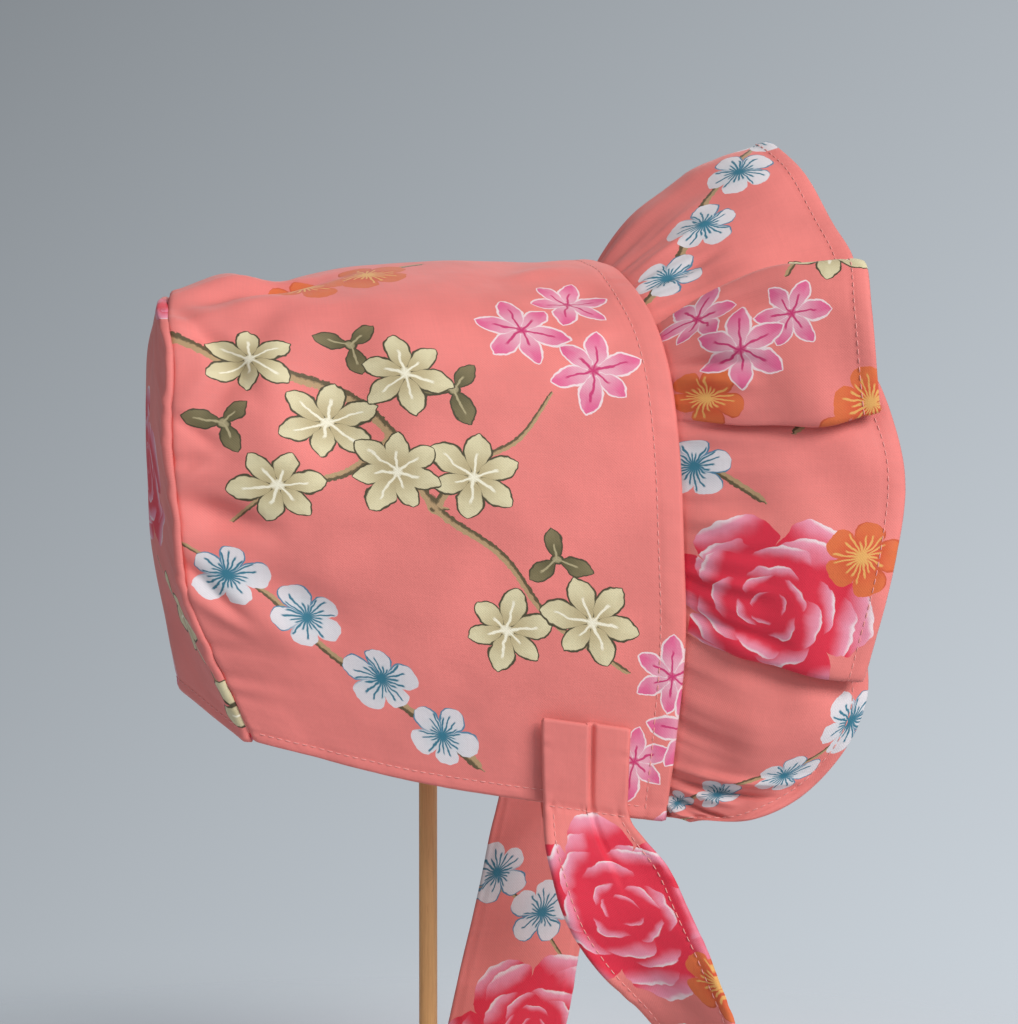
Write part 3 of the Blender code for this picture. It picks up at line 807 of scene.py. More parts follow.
def white_noise(tree, first, second):
    """A value from 0 to 1 that a whole number and a seed pick. The seed is rounded first, because
    the last digit of an attribute changes across a face."""
    join = tree.nodes.new("ShaderNodeCombineXYZ")
    plug(tree, first, join.inputs[0])
    plug(tree, maths(tree, "ROUND", maths(tree, "MULTIPLY", second, 100.0)), join.inputs[1])
    node = tree.nodes.new("ShaderNodeTexWhiteNoise")
    node.noise_dimensions = "3D"
    tree.links.new(join.outputs[0], node.inputs["Vector"])
    return node.outputs["Value"]


def shaken(tree, place, seed, scale, size):
    """A place moved a little by smooth noise, as a hand-drawn line wavers."""
    join = tree.nodes.new("ShaderNodeCombineXYZ")
    plug(tree, maths(tree, "MULTIPLY", seed, 31.0), join.inputs[2])
    level = vector_maths(tree, "MULTIPLY", place, (1.0, 1.0, 0.0))
    wander = noise_of(tree, vector_maths(tree, "ADD", level, join.outputs[0]), scale, colour=True)
    moved = vector_maths(tree, "MULTIPLY_ADD", wander, (size, size, 0.0), place)
    return vector_maths(tree, "SUBTRACT", moved, (size / 2.0, size / 2.0, 0.0))


PALETTES = (
    # outer, inner, outline, lines: khaki flowers, pink stars, white blossoms, orange ones, leaves
    ((0.63, 0.56, 0.35), (0.43, 0.35, 0.19), (0.060, 0.050, 0.024), (0.78, 0.73, 0.57)),
    ((0.66, 0.110, 0.245), (0.70, 0.350, 0.430), (0.76, 0.60, 0.61), (0.52, 0.030, 0.140)),
    ((0.64, 0.60, 0.62), (0.54, 0.56, 0.59), (0.075, 0.20, 0.30), (0.028, 0.155, 0.225)),
    ((0.64, 0.135, 0.040), (0.58, 0.065, 0.022), (0.54, 0.085, 0.028), (0.70, 0.36, 0.10)),
    ((0.185, 0.150, 0.072), (0.105, 0.088, 0.038), (0.060, 0.050, 0.024), (0.38, 0.32, 0.18)),
)
FLOWER_CORE = 0.17


def flower_group():
    """A small printed flower. Each petal's half width is its length share times the rest of the
    length to a power, so that a low roundness gives a point and a high one a round tip. It has
    an outline inside its edge, a shade along it, and drawn lines that run out from the middle."""
    group, given, result = new_group("printed_flower", {"Place": "Vector", "Form": "Vector"},
                                     {"Colour": "Color", "Mask": "Float"})
    do, step, blend, _ = tools_for(group)
    seed = separate(group, given["Place"])[2]
    x, y, _ = separate(group, shaken(group, given["Place"], seed, 3.2, 0.16))
    petals, roundness, palette = separate(group, given["Form"])
    radius = distance_of(group, x, y)
    turn = do("MULTIPLY_ADD", do("ARCTAN2", y, x), 1.0 / FULL_TURN, 0.5)
    sector = do("MULTIPLY", turn, petals)
    number = do("FLOOR", sector)
    angle = do("DIVIDE", do("MULTIPLY", do("SUBTRACT", do("FRACT", sector), 0.5), FULL_TURN), petals)
    length = do("MULTIPLY_ADD", white_noise(group, number, seed), 0.22, 0.78)
    along = do("DIVIDE", do("MULTIPLY", radius, do("COSINE", angle)), length)
    across = do("DIVIDE", do("MULTIPLY", radius, do("SINE", angle)), length)
    rest = do("MAXIMUM", do("SUBTRACT", 1.0, along), 0.0)
    width = do("MULTIPLY", along, do("POWER", rest, do("MULTIPLY_ADD", roundness, -0.62, 1.0)))
    slimmer = do("DIVIDE", do("MULTIPLY_ADD", roundness, 0.20, 0.245),
                 do("MULTIPLY_ADD", roundness, 0.20, 0.25))
    inside = do("SUBTRACT", do("MULTIPLY", width, slimmer), do("ABSOLUTE", across))
    inside = do("MAXIMUM", inside, do("SUBTRACT", FLOWER_CORE, radius))
    plug(group, step(inside, 0.0, 0.015), result["Mask"])

    outer, inner, outline, lines = (colour_steps(group, palette, part) for part in zip(*PALETTES))
    shade = step(along, 0.15, 0.85, 1.0, 0.0)
    dark_side = step(across, 0.0, 0.12, 0.0, 0.45)
    shade = do("MAXIMUM", shade, do("MULTIPLY", dark_side, do("SUBTRACT", 1.0, roundness)))
    colour = blend(shade, outer, inner)
    lines_a_petal = do("MULTIPLY_ADD", do("GREATER_THAN", roundness, 0.5), 3.0, 1.0)
    fine_sector = do("MULTIPLY", sector, lines_a_petal)
    off_line = do("ABSOLUTE", do("SUBTRACT", do("FRACT", fine_sector), 0.5))
    gap = do("DIVIDE", do("MULTIPLY", off_line, FULL_TURN), do("MULTIPLY", petals, lines_a_petal))
    gap = do("MULTIPLY", gap, radius)
    reach = do("MULTIPLY_ADD", white_noise(group, do("FLOOR", fine_sector), seed), 0.38, 0.32)
    drawn = do("MULTIPLY", step(gap, 0.012, 0.034, 1.0, 0.0),
               step(do("SUBTRACT", radius, reach), -0.04, 0.04, 1.0, 0.0))
    drawn = do("MAXIMUM", drawn, step(radius, 0.07, 0.13, 0.8, 0.0))
    colour = blend(drawn, colour, lines)
    edge = step(inside, 0.042, 0.064, 1.0, 0.0)
    one_side = step(do("ADD", x, y), -0.1, 0.3, 0.0, 1.0)
    blossom = do("LESS_THAN", do("ABSOLUTE", do("SUBTRACT", palette, 2.5)), 1.0)
    keep = do("SUBTRACT", 1.0, do("MULTIPLY", blossom, do("SUBTRACT", 1.0, one_side)))
    colour = blend(do("MULTIPLY", edge, keep), colour, outline)
    plug(group, colour, result["Colour"])
    return group


ROSE_EDGE = (0.76, 0.61, 0.63)
ROSE_PALE = (0.74, 0.28, 0.38)
ROSE_DEEP = (0.65, 0.020, 0.050)
ROSE_RINGS = (
    # radius, petals, turn, shift_x, shift_y
    (0.95, 6, 0.00, 0.00, 0.00),
    (0.80, 5, 0.13, 0.05, -0.03),
    (0.63, 5, 0.37, -0.03, 0.03),
    (0.47, 4, 0.61, 0.05, 0.01),
    (0.32, 4, 0.22, -0.02, -0.02),
    (0.18, 3, 0.80, 0.02, 0.01),
)


def rose_ring_group():
    """One ring of petals of a printed rose. Its edge is a circle whose radius dips between the
    petals, and its colour goes from a white edge over pink to crimson at the petals' feet."""
    group, given, result = new_group(
        "rose_ring", {"Place": "Vector", "Radius": "Float", "Petals": "Float", "Turn": "Float",
                      "Under": "Color"}, {"Colour": "Color", "Edge": "Float"})
    do, step, blend, _ = tools_for(group)
    x, y, _ = separate(group, given["Place"])
    radius = distance_of(group, x, y)
    turn = do("ADD", do("MULTIPLY_ADD", do("ARCTAN2", y, x), 1.0 / FULL_TURN, 0.5), given["Turn"])
    sector = do("MULTIPLY", turn, given["Petals"])
    off = do("ABSOLUTE", do("SUBTRACT", do("FRACT", sector), 0.5))
    dip = do("POWER", do("MULTIPLY", off, 2.0), 3.0)
    lean = do("SUBTRACT", do("FRACT", sector), 0.5)
    bound = do("MULTIPLY", given["Radius"], do("MULTIPLY_ADD", dip, -0.26, 1.0))
    bound = do("MULTIPLY", bound, do("MULTIPLY_ADD", lean, 0.12, 1.0))
    inside = do("SUBTRACT", bound, radius)
    share = do("DIVIDE", inside, given["Radius"])
    notch = do("MULTIPLY", dip, 0.55)
    pale = step(do("ADD", share, notch), 0.03, 0.30, 0.0, 1.0)
    colour = blend(pale, ROSE_PALE, ROSE_DEEP)
    rim = step(do("ADD", share, notch), 0.015, 0.075, 1.0, 0.0)
    colour = blend(rim, colour, ROSE_EDGE)
    mask = step(inside, 0.0, 0.012)
    plug(group, blend(mask, given["Under"], colour), result["Colour"])
    plug(group, mask, result["Edge"])
    return group


def rose_group(ring):
    """A full printed rose: rings of petals laid on one another from the outside in, each a
    little off the middle, on a place that is shaken so that every edge wavers."""
    group, given, result = new_group("printed_rose", {"Place": "Vector", "Form": "Vector"},
                                     {"Colour": "Color", "Mask": "Float"})
    seed = separate(group, given["Place"])[2]
    place = shaken(group, given["Place"], seed, 2.3, 0.26)
    place = shaken(group, place, seed, 9.0, 0.05)
    colour = ROSE_DEEP
    for number, (radius, petals, turn, shift_x, shift_y) in enumerate(ROSE_RINGS):
        moved = vector_maths(group, "ADD", place, (shift_x, shift_y, 0.0))
        drawn = from_group(group, ring, Place=moved, Radius=radius, Petals=petals, Turn=turn,
                           Under=colour)
        colour = drawn["Colour"]
        if number == 0:
            plug(group, drawn["Edge"], result["Mask"])
    plug(group, colour, result["Colour"])
    return group


TWIG_PALE = (0.41, 0.27, 0.14)
TWIG_DARK = (0.105, 0.075, 0.035)


def twig_group():
    """A printed twig: pale along one side and dark along the other, with a ragged edge and
    knots that come and go along it."""
    group, given, result = new_group("printed_twig", {"Place": "Vector"},
                                     {"Colour": "Color", "Mask": "Float"})
    do, step, blend, noise = tools_for(group)
    across, _, reach = separate(group, given["Place"])
    rough = noise(vector_maths(group, "MULTIPLY", given["Place"], (0.5, 3.0, 0.0)), 2.5)
    ragged = do("MULTIPLY_ADD", rough, 1.1, -0.55)
    off = do("ADD", do("ABSOLUTE", across), ragged)
    near = step(reach, 1.7, 1.9, 1.0, 0.0)
    plug(group, do("MULTIPLY", near, step(off, 0.9, 1.05, 1.0, 0.0)), result["Mask"])
    dark = step(do("ADD", across, ragged), -0.1, 0.35)
    plug(group, blend(dark, TWIG_PALE, TWIG_DARK), result["Colour"])
    return group


THREAD_PITCH = 0.42


def cotton_weave_group():
    """Plain weave: the product of a sine along each thread direction, so that the threads cross
    over and under. Streak is the threads' own unevenness, drawn out along both directions."""
    group, given, result = new_group("cotton_weave", {"Place": "Vector"},
                                     {"Height": "Float", "Streak": "Float"})
    do, _, _, noise = tools_for(group)
    u, v, _ = separate(group, given["Place"])
    turns = np.pi / (THREAD_PITCH * MM)
    warp = do("SINE", do("MULTIPLY", u, turns))
    weft = do("SINE", do("MULTIPLY", v, turns))
    plug(group, do("MULTIPLY", warp, weft), result["Height"])
    long_u, long_v = (noise(vector_maths(group, "MULTIPLY", given["Place"], drawn), 1.0)
                      for drawn in ((90.0, 1900.0, 0.0), (1900.0, 90.0, 0.0)))
    plug(group, do("MULTIPLY", do("ADD", long_u, long_v), 0.5), result["Streak"])
    return group


COTTON_WEAVE = cotton_weave_group()
PRINTED_FLOWER = flower_group()
PRINTED_ROSE = rose_group(rose_ring_group())
PRINTED_TWIG = twig_group()


def attribute(tree, name):
    """The node that reads values kept on the mesh."""
    node = tree.nodes.new("ShaderNodeAttribute")
    node.attribute_name = name
    return node


def printed_cotton(name, ground, reverse_fade):
    """Printed plain-woven cotton. The print's layers lie on the ground colour, the thread's
    streaks shade it, and the reverse fades towards its own colour by a share."""
    finish, tree, shader = new_finish(name)
    do, step, blend, noise = tools_for(tree)
    uv_map = tree.nodes.new("ShaderNodeUVMap")
    uv_map.uv_map = "flat"
    flat = uv_map.outputs[0]
    weave = from_group(tree, COTTON_WEAVE, Place=flat)
    deep = [part * 0.94 for part in ground]
    pale = [part * 1.07 for part in ground]
    mottle = step(noise(flat, 38.0), 0.3, 0.7)
    colour = blend(mottle, deep, pale)
    for motif, group in (("twig", PRINTED_TWIG), ("flower_under", PRINTED_FLOWER),
                         ("rose", PRINTED_ROSE), ("flower_over", PRINTED_FLOWER)):
        laid = {"Place": attribute(tree, motif).outputs["Vector"]}
        if motif != "twig":
            laid["Form"] = attribute(tree, motif + "_form").outputs["Vector"]
        printed = from_group(tree, group, **laid)
        colour = blend(printed["Mask"], colour, printed["Colour"])
    faded = do("MULTIPLY", attribute(tree, "reverse").outputs["Fac"], reverse_fade)
    colour = blend(faded, colour, REVERSE_CORAL)
    thread_shade = step(weave["Streak"], 0.36, 0.64, 0.975, 1.02)
    plug(tree, blend(1.0, colour, thread_shade, "MULTIPLY"), shader["Base Color"])
    plug(tree, step(weave["Streak"], 0.3, 0.7, 0.60, 0.74), shader["Roughness"])
    shader["Specular IOR Level"].default_value = 0.35
    shader["Sheen Weight"].default_value = 0.12
    shader["Sheen Roughness"].default_value = 0.45
    shader["Sheen Tint"].default_value = (1.0, 0.80, 0.76, 1.0)
    soft = relief(tree, noise(flat, 130.0), 0.5, 0.5)
    plug(tree, relief(tree, weave["Height"], 0.40, 0.05, soft), shader["Normal"])
    return finish


STITCH_RINGS = (
    # along_share, thickness_share
    (-1.00, 0.45),
    (-0.62, 0.95),
    (0.00, 1.00),
    (0.62, 0.95),
    (1.00, 0.45),
)
STITCH_SIDES = 6
STITCH_LENGTH = 2.1
STITCH_THICKNESS = 0.36
STITCH_LIFT = 0.16
STITCH_BOW = 0.30
CROWN_FRONT_POINTS = 900
CROWN_HEM_POINTS = 400
CROWN_FRONT_ENDS = 3.0


def on_grid(grid, row, column):
    """Points between a grid's own, by straight lines along rows and columns."""
    row = np.clip(row, 0.0, grid.shape[0] - 1.001)
    column = np.clip(column, 0.0, grid.shape[1] - 1.001)
    top, left = row.astype(int), column.astype(int)
    down, over = (row - top)[:, None], (column - left)[:, None]
    upper, lower = (grid[line, left] * (1.0 - over) + grid[line, left + 1] * over
                    for line in (top, top + 1))
    return upper * (1.0 - down) + lower * down


def stitch_mesh(name, lines):
    """Rows of machine stitches along lines of points and normals. Each stitch is a short thread
    whose rings are thinner at its ends, bowed up in the middle and sunk in at both ends."""
    threads = []
    for points, normals in lines:
        ways = way_along(points)
        count = int(ways[-1] / (STITCH_PITCH * MM))
        at = (np.arange(count) + 0.5) * ways[-1] / count
        half = 0.5 * STITCH_LENGTH * MM
        before, middle, later, up = (
            np.stack([np.interp(where, ways, part) for part in values.T], axis=-1)
            for where, values in ((at - half, points), (at, points), (at + half, points),
                                  (at, normals)))
        threads.append(((before + middle * 2.0 + later) / 4.0, unit(later - before), unit(up)))
    place, along, up = (np.vstack(part) for part in zip(*threads))
    side = unit(np.cross(up, along))
    up = np.cross(along, side)

    rings = np.array(STITCH_RINGS)
    angles = np.linspace(0.0, FULL_TURN, STITCH_SIDES, endpoint=False)
    reach = np.repeat(rings[:, 0], STITCH_SIDES)
    thick = np.repeat(rings[:, 1], STITCH_SIDES) * STITCH_THICKNESS / 2.0
    around = np.tile(angles, len(rings))
    template = np.stack((reach * STITCH_LENGTH / 2.0, thick * np.cos(around),
                         thick * np.sin(around) + STITCH_LIFT - STITCH_BOW * reach ** 2), axis=-1)
    tips = np.array([(end * STITCH_LENGTH / 2.0, 0.0, -STITCH_LIFT) for end in (-1.0, 1.0)])
    template = np.vstack((template, tips)) * MM
    points = (place[:, None] + along[:, None] * template[None, :, 0:1]
              + side[:, None] * template[None, :, 1:2] + up[:, None] * template[None, :, 2:3])

    body, caps = tube_faces(len(rings), STITCH_SIDES)
    start = np.arange(len(place))[:, None, None] * len(template)
    faces = (body + start).reshape(-1, 4).tolist() + (caps + start).reshape(-1, 3).tolist()
    return new_mesh(name, points, faces)


def thread_material(name, colour):
    """Sewing thread: its colour varies a little along the seam, and it shines more than cloth."""
    finish, tree, shader = new_finish(name)
    _, step, blend, noise = tools_for(tree)
    place = tree.nodes.new("ShaderNodeTexCoord").outputs["Object"]
    worn = noise(place, 160.0)
    deep = [part * 0.80 for part in colour]
    plug(tree, blend(worn, deep, colour), shader["Base Color"])
    plug(tree, step(worn, 0.3, 0.7, 0.45, 0.65), shader["Roughness"])
    plug(tree, relief(tree, noise(place, 2500.0, 0.0), 0.3, 0.05), shader["Normal"])
    return finish


def sew_piece(name, grid, height, wall, flat, rolls, follow, cut, finish):
    """A cloth shell with its print and finish, made a piece, and the points and normals of its
    outer face. The cut is the panel's place and turn on the printed cloth."""
    mesh, corners, *face = cloth_shell(name, grid, height, wall, flat, rolls, follow)
    print_cloth(mesh, corners, *cut)
    return add_piece(mesh, finish), face


def sew_along(name, face, lines):
    """Topstitching along lines of rows and columns on the outer face of a piece."""
    lines = [np.broadcast_arrays(*line) for line in lines]
    return add_piece(stitch_mesh(name, [[on_grid(part, *line) for part in face] for line in lines]),
                     PINK_THREAD)


PINK_THREAD = thread_material("pink_thread", THREAD_PINK)
arch_fine = np.linspace(0.0, 2.0, ARCH_SAMPLES)
ways_fine = way_along(crown_point(arch_fine, 0.5)) / MM
crown_way = ways_fine[-1]
crown_depths = rows_close_at_ends(CROWN_LENGTH, CLOTH_STEP, FINE_STEP, FINE_REACH)
crown_ways = rows_close_at_ends(crown_way, CLOTH_STEP, FINE_STEP, FINE_REACH)
crown_arches = np.interp(crown_ways, ways_fine, arch_fine)
arch_grid, depth_grid = np.meshgrid(crown_arches, crown_depths / CROWN_LENGTH)
crown_base = crown_point(arch_grid, depth_grid)
crown_flat = np.stack((depth_grid * CROWN_LENGTH,
                       np.broadcast_to(crown_ways - crown_way / 2.0, arch_grid.shape)), axis=-1)
from_front = crown_flat[..., 0]
from_seam = CROWN_LENGTH - from_front
along_arch = crown_flat[..., 1]
from_hem = crown_way / 2.0 - np.abs(along_arch)

front_wavers = 0.8 + 0.5 * puckers(along_arch, seed=5, pitch=9.0)
hem_wavers = 0.7 + 0.5 * puckers(from_front, seed=6, pitch=8.0)
crown_height = folded_hem(from_front, FRONT_STITCH_IN) * front_wavers
crown_height += folded_hem(from_hem, HEM_STITCH_IN) * hem_wavers
crown_height += seam_puckers(along_arch, from_seam, seed=7, pitch=13.0)
crown_drape = soft_waves(crown_flat, seed=11, length=46.0, height=0.55)
crown_height += crown_drape * smooth_step(0.0, 12.0, from_front)
crown_height += soft_waves(crown_flat, seed=12, length=17.0, height=0.10)
crown_height += creases(crown_flat, CROWN_CREASES)
crown_height -= seam_curl(from_seam)
crown, crown_face = sew_piece(
    "crown_cotton", crown_base, crown_height, CROWN_WALL, crown_flat, CROWN_ROLLS, INNER_FOLLOW,
    CROWN_CUT, printed_cotton("crown_cotton", CORAL, INSIDE_FADE))
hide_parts("crown")

front_row = np.interp(FRONT_STITCH_IN, crown_depths, np.arange(len(crown_depths)))
hem_column = np.interp(HEM_STITCH_IN, crown_ways, np.arange(len(crown_ways)))
last_depth, last_way = len(crown_depths) - 1.0, len(crown_ways) - 1.0
front_way = np.linspace(CROWN_FRONT_ENDS, last_way - CROWN_FRONT_ENDS, CROWN_FRONT_POINTS)
hem_way = np.linspace(front_row + 2.0, last_depth - 4.0, CROWN_HEM_POINTS)
crown_stitches = sew_along("crown_topstitch", crown_face, (
    (front_row, front_way), (hem_way, hem_column), (hem_way, last_way - hem_column)))

# Back panel: the upright piece that closes the back of the bonnet, of the same cotton. Both are
# seamed right sides together, so the seam lies in a groove, and its raw edges stand inside.

BACK_WALL = 2.0 * MM
FACET_CLEARANCE = 0.5 * MM
BACK_COLUMNS = 220
BACK_FINE_ROWS = 105
BACK_FINE_COLUMNS = 88
NAPE_STITCH_POINTS = 300
NAPE_STITCH_ENDS = 2.0
BACK_ROLLS = (0.30, 0.05, 0.05, 0.05)
BACK_CUT = ((230.0, 150.0), 0.0)
BACK_TOP_ARCH = 0.80
NAPE_RISE = 14.0 * MM
NAPE_SETBACK = 22.6 * MM
BACK_BULGE = (
    # height, bulge
    (0.00, -2.4),
    (0.15, -5.6),
    (0.31, -6.4),
    (0.50, -3.6),
    (0.69, -0.8),
    (0.84, 1.8),
    (0.93, 0.6),
    (1.00, 0),
)
BACK_CREASES = (
    # x_mm, up_mm, end_x_mm, end_up_mm, width, height
    (-52, 68, -20, 62, 3, -0.9),
    (-46, 40, -18, 48, 3.5, 0.8),
    (50, 70, 22, 60, 3.2, -0.9),
    (44, 38, 16, 46, 3.5, 0.8),
)
ALLOWANCE_WIDTH = 9.0 * MM
ALLOWANCE_WALL = 0.40 * MM
ALLOWANCE_ROWS = 9
ALLOWANCE_INWARD = 1.1
ALLOWANCE_REARWARD = 0.45
ALLOWANCE_ROLLS = (0.1, 0.1, 0.1, 0.1)
RAW_EDGE_WAVE = 23.0 * MM
RAW_EDGE_SWING = 0.7
ALLOWANCE_CUT = ((0.0, 0.0), 90.0)


def back_patch(columns):
    """Back panel without its wrinkles: a patch between the two seams, the nape and the top of
    the seam, made of straight lines both ways less the corners' share, that bulges to the rear
    by a table. Its border lies just behind the crown's back edge."""
    seam_line, outward = crown_frame(np.linspace(0.0, 2.0, columns + 1), 1.0)
    rearward = unit(np.cross(outward, np.gradient(seam_line, axis=0)))
    seam = seam_line + rearward * (BACK_WALL + FACET_CLEARANCE)
    corner = int(round(BACK_TOP_ARCH * columns / 2.0))
    near = seam[:corner + 1]
    far = seam[::-1][:corner + 1]
    top = seam[corner:columns - corner + 1]
    across = np.linspace(0.0, 1.0, len(top))[:, None]
    height = np.linspace(0.0, 1.0, corner + 1)[None, :]
    arched = np.sin(np.pi * across)
    nape = near[0] * (1.0 - across) + far[0] * across
    nape = nape + np.hstack((-NAPE_SETBACK * arched, 0.0 * arched, NAPE_RISE * arched))
    corners = ((1.0 - across) * (1.0 - height), across * (1.0 - height),
               (1.0 - across) * height, across * height)
    patch = (nape[:, None] * (1.0 - height[..., None]) + top[:, None] * height[..., None]
             + near[None] * (1.0 - across[..., None]) + far[None] * across[..., None]
             - near[0] * corners[0][..., None] - far[0] * corners[1][..., None]
             - near[-1] * corners[2][..., None] - far[-1] * corners[3][..., None])
    table = np.asarray(BACK_BULGE)
    bulge = spline(table[:, 0], table[:, 1:], height[0])[:, 0] * MM
    patch[..., 0] -= bulge[None, :] * (1.0 - (2.0 * across - 1.0) ** 4)
    return np.swapaxes(patch, 0, 1), outward, rearward, seam_line


coarse_patch, seam_out, seam_back, seam_line = back_patch(BACK_COLUMNS)
fine_rows, fine_columns = (np.linspace(0.0, given - 1.0, wanted) for given, wanted in
                           zip(coarse_patch.shape, (BACK_FINE_ROWS, BACK_FINE_COLUMNS)))
row_grid, column_grid = np.meshgrid(fine_rows, fine_columns, indexing="ij")
back_base = on_grid(coarse_patch, row_grid.ravel(), column_grid.ravel())
back_base = back_base.reshape(BACK_FINE_ROWS, BACK_FINE_COLUMNS, 3)
row_way, column_way = (way_along(back_base, axis) / MM for axis in (0, 1))
back_flat = np.stack((column_way - column_way[:, -1:] / 2.0, row_way), axis=-1)
to_side = np.minimum(column_way, column_way[:, -1:] - column_way)
to_top = row_way[-1:] - row_way
to_seam = np.minimum(to_side, to_top)
back_height = soft_waves(back_flat, seed=21, length=38.0, height=0.6)
back_height += creases(back_flat, BACK_CREASES)
back_height += seam_puckers(row_way, to_side, seed=23, pitch=8.5)
back_height += seam_puckers(column_way, to_top, seed=24, pitch=8.5)
back_height *= smooth_step(-2.0, 3.0, to_seam)
back_height += folded_hem(row_way, HEM_STITCH_IN)
back_height -= seam_curl(to_seam)
back, back_face = sew_piece(
    "back_cotton", back_base, back_height, BACK_WALL, back_flat, BACK_ROLLS, INNER_FOLLOW,
    BACK_CUT, printed_cotton("back_cotton", CORAL, INSIDE_FADE))
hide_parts("back_panel")

nape_row = np.interp(HEM_STITCH_IN, row_way[:, BACK_FINE_COLUMNS // 2], np.arange(BACK_FINE_ROWS))
nape_way = np.linspace(NAPE_STITCH_ENDS, BACK_FINE_COLUMNS - 1.0 - NAPE_STITCH_ENDS,
                       NAPE_STITCH_POINTS)
back_stitches = sew_along("back_topstitch", back_face, [(nape_row, nape_way)])

raw_way = way_along(seam_line)
inward_share = np.linspace(0.0, 1.0, ALLOWANCE_ROWS)[:, None, None]
raw_wave = np.sin(raw_way * FULL_TURN / RAW_EDGE_WAVE) * RAW_EDGE_SWING * MM * inward_share[..., 0]
allowance_base = (seam_line - seam_out * ALLOWANCE_INWARD * MM + seam_back * ALLOWANCE_REARWARD * MM
                  - seam_out * (ALLOWANCE_WIDTH * inward_share) + seam_back * raw_wave[..., None])
allowance_flat = np.stack(np.broadcast_arrays(inward_share[..., 0] * ALLOWANCE_WIDTH / MM,
                                              raw_way / MM), axis=-1)
allowance, _ = sew_piece(
    "seam_allowance", allowance_base, np.zeros(allowance_base.shape[:2]), ALLOWANCE_WALL,
    allowance_flat, ALLOWANCE_ROLLS, 1.0, ALLOWANCE_CUT,
    printed_cotton("allowance_cotton", REVERSE_CORAL, 0.8))

# Brim: one long double strip of the cotton, turned through and topstitched near its fold, then
# gathered at its root and sewn inside the crown's front edge. It falls in large lobes that lap
# over each other round the face.

BRIM_WALL = 1.2 * MM
BRIM_CLEARANCE = 0.8 * MM
BRIM_TUCKED = 10.0
BRIM_END_ARCH = 0.004
BRIM_WIDTH = 62.0
BRIM_FREE_ROWS = 46
BRIM_TUCKED_ROWS = 6
BRIM_EDGE_SAMPLES = 6001
BRIM_ROLLS = (0.1, 0.50, 0.30, 0.30)
BRIM_CUT = ((133.0, 12.0), 0.0)
BRIM_STITCH_IN = 5.3
BRIM_STITCH_ENDS = 6
BRIM_GATHERS = (
    # seed, pitch, height, reach_share, fade_power
    (31, 6.4, 0.95, 0.26, 1.4),
    (32, 13.0, 1.10, 0.48, 2.0),
)
BRIM_GATHERS_FROM = 0.035
BRIM_FOLDS = (
    # name, arch, edge_x, edge_y, edge_z, stand_out, droop
    ("hem corner", 0.000, 77, 60.5, 124.2, 0, 0),
    ("fourth lobe, underside", 0.035, 95, 70, 125.3, 1, 0),
    ("fourth lobe, turn", 0.075, 113.5, 73, 135.5, 3, 0),
    ("fourth lobe, front", 0.140, 125.5, 75.5, 150.5, 8.5, 0),
    ("fourth lobe, shoulder", 0.205, 130.6, 75.5, 164, 9.5, 0),
    ("tuck behind third lobe", 0.260, 130, 73, 178, 5, 0),
    ("third lobe, lower crest", 0.272, 127.6, 81, 168.8, 7, 0),
    ("third lobe, low", 0.320, 131, 83.5, 182, 7, 0),
    ("third lobe, middle", 0.400, 136.6, 84.5, 205.5, 6.5, 0),
    ("third lobe, high", 0.480, 140.8, 80, 229.5, 5, 0),
    ("third lobe, shoulder", 0.545, 139.3, 78.8, 243.5, 6, 2),
    ("tuck behind second lobe", 0.576, 133, 75.5, 261.5, 2.2, 3),
    ("second lobe, lower crest", 0.588, 132.8, 82, 251.4, 7, 7),
    ("second lobe, low", 0.625, 130.6, 85.5, 262.5, 6.5, 4),
    ("second lobe, high", 0.695, 129, 84, 283.5, 6, 0),
    ("second lobe, upper crest", 0.744, 129.2, 73.5, 298.6, 6.5, -3),
    ("tuck under second lobe", 0.756, 127, 60, 289.5, -1, -1),
    ("first lobe, shoulder", 0.785, 131.5, 48, 300, 1, 0),
    ("first lobe, side", 0.850, 127.5, 34, 314.5, 5, 0),
    ("first lobe, front", 0.930, 119.5, 15, 334, 7, 0),
    ("first lobe, peak", 1.000, 113.4, 0, 342.3, 8, 0),
)
BRIM_CREASES = (
    # edge_mm from the peak, root_mm, end_edge_mm, end_root_mm, width, height
    (0, 0, 0, 42, 9, 2.4),
    (0, 34, 0, 60, 9, -1.3),
    (22, 0, 19, 28, 2.6, -1.3),
    (38, 0, 34, 32, 2.8, 1.3),
    (54, 0, 49, 30, 2.4, -1.5),
    (68, 0, 62, 34, 2.8, 1.4),
    (86, 0, 82, 28, 2.6, -1.3),
    (114, 0, 112, 38, 3, -2),
    (129, 0, 134, 30, 1.9, -2.4),
    (136, 0, 141, 28, 2.4, 1.7),
    (214, 0, 213, 26, 2.6, 1.2),
    (226, 0, 225, 34, 3, -1.6),
    (240, 0, 238, 30, 2.6, 1.3),
    (256, 0, 255, 36, 2.8, -1.5),
    (269, 0, 271, 26, 2.4, 1.2),
    (326, -4, 320, 60, 2.6, 2.8),
    (334, -4, 330, 56, 1.6, -3.4),
    (340.5, -4, 339, 44, 2, 2.6),
    (347.5, -4, 351, 56, 1.5, -3.4),
    (354.5, -4, 364, 56, 2.2, 3.4),
    (361.5, -4, 378, 60, 1.7, -4.4),
    (369.5, -4, 389, 54, 2, 3.2),
    (377, -4, 397, 44, 1.5, -3),
)


def brim_profile():
    """Rows of the whole brim, and a knot for each that grows with the square root of the way
    along its outer edge, so that the curve through sharp folds has no overshoot."""
    rows = both_halves([fold[1:] for fold in BRIM_FOLDS], 0, [2])
    ways = np.linalg.norm(np.diff(rows[:, 1:4], axis=0), axis=1)
    return np.concatenate(([0.0], np.cumsum(np.sqrt(ways)))), rows


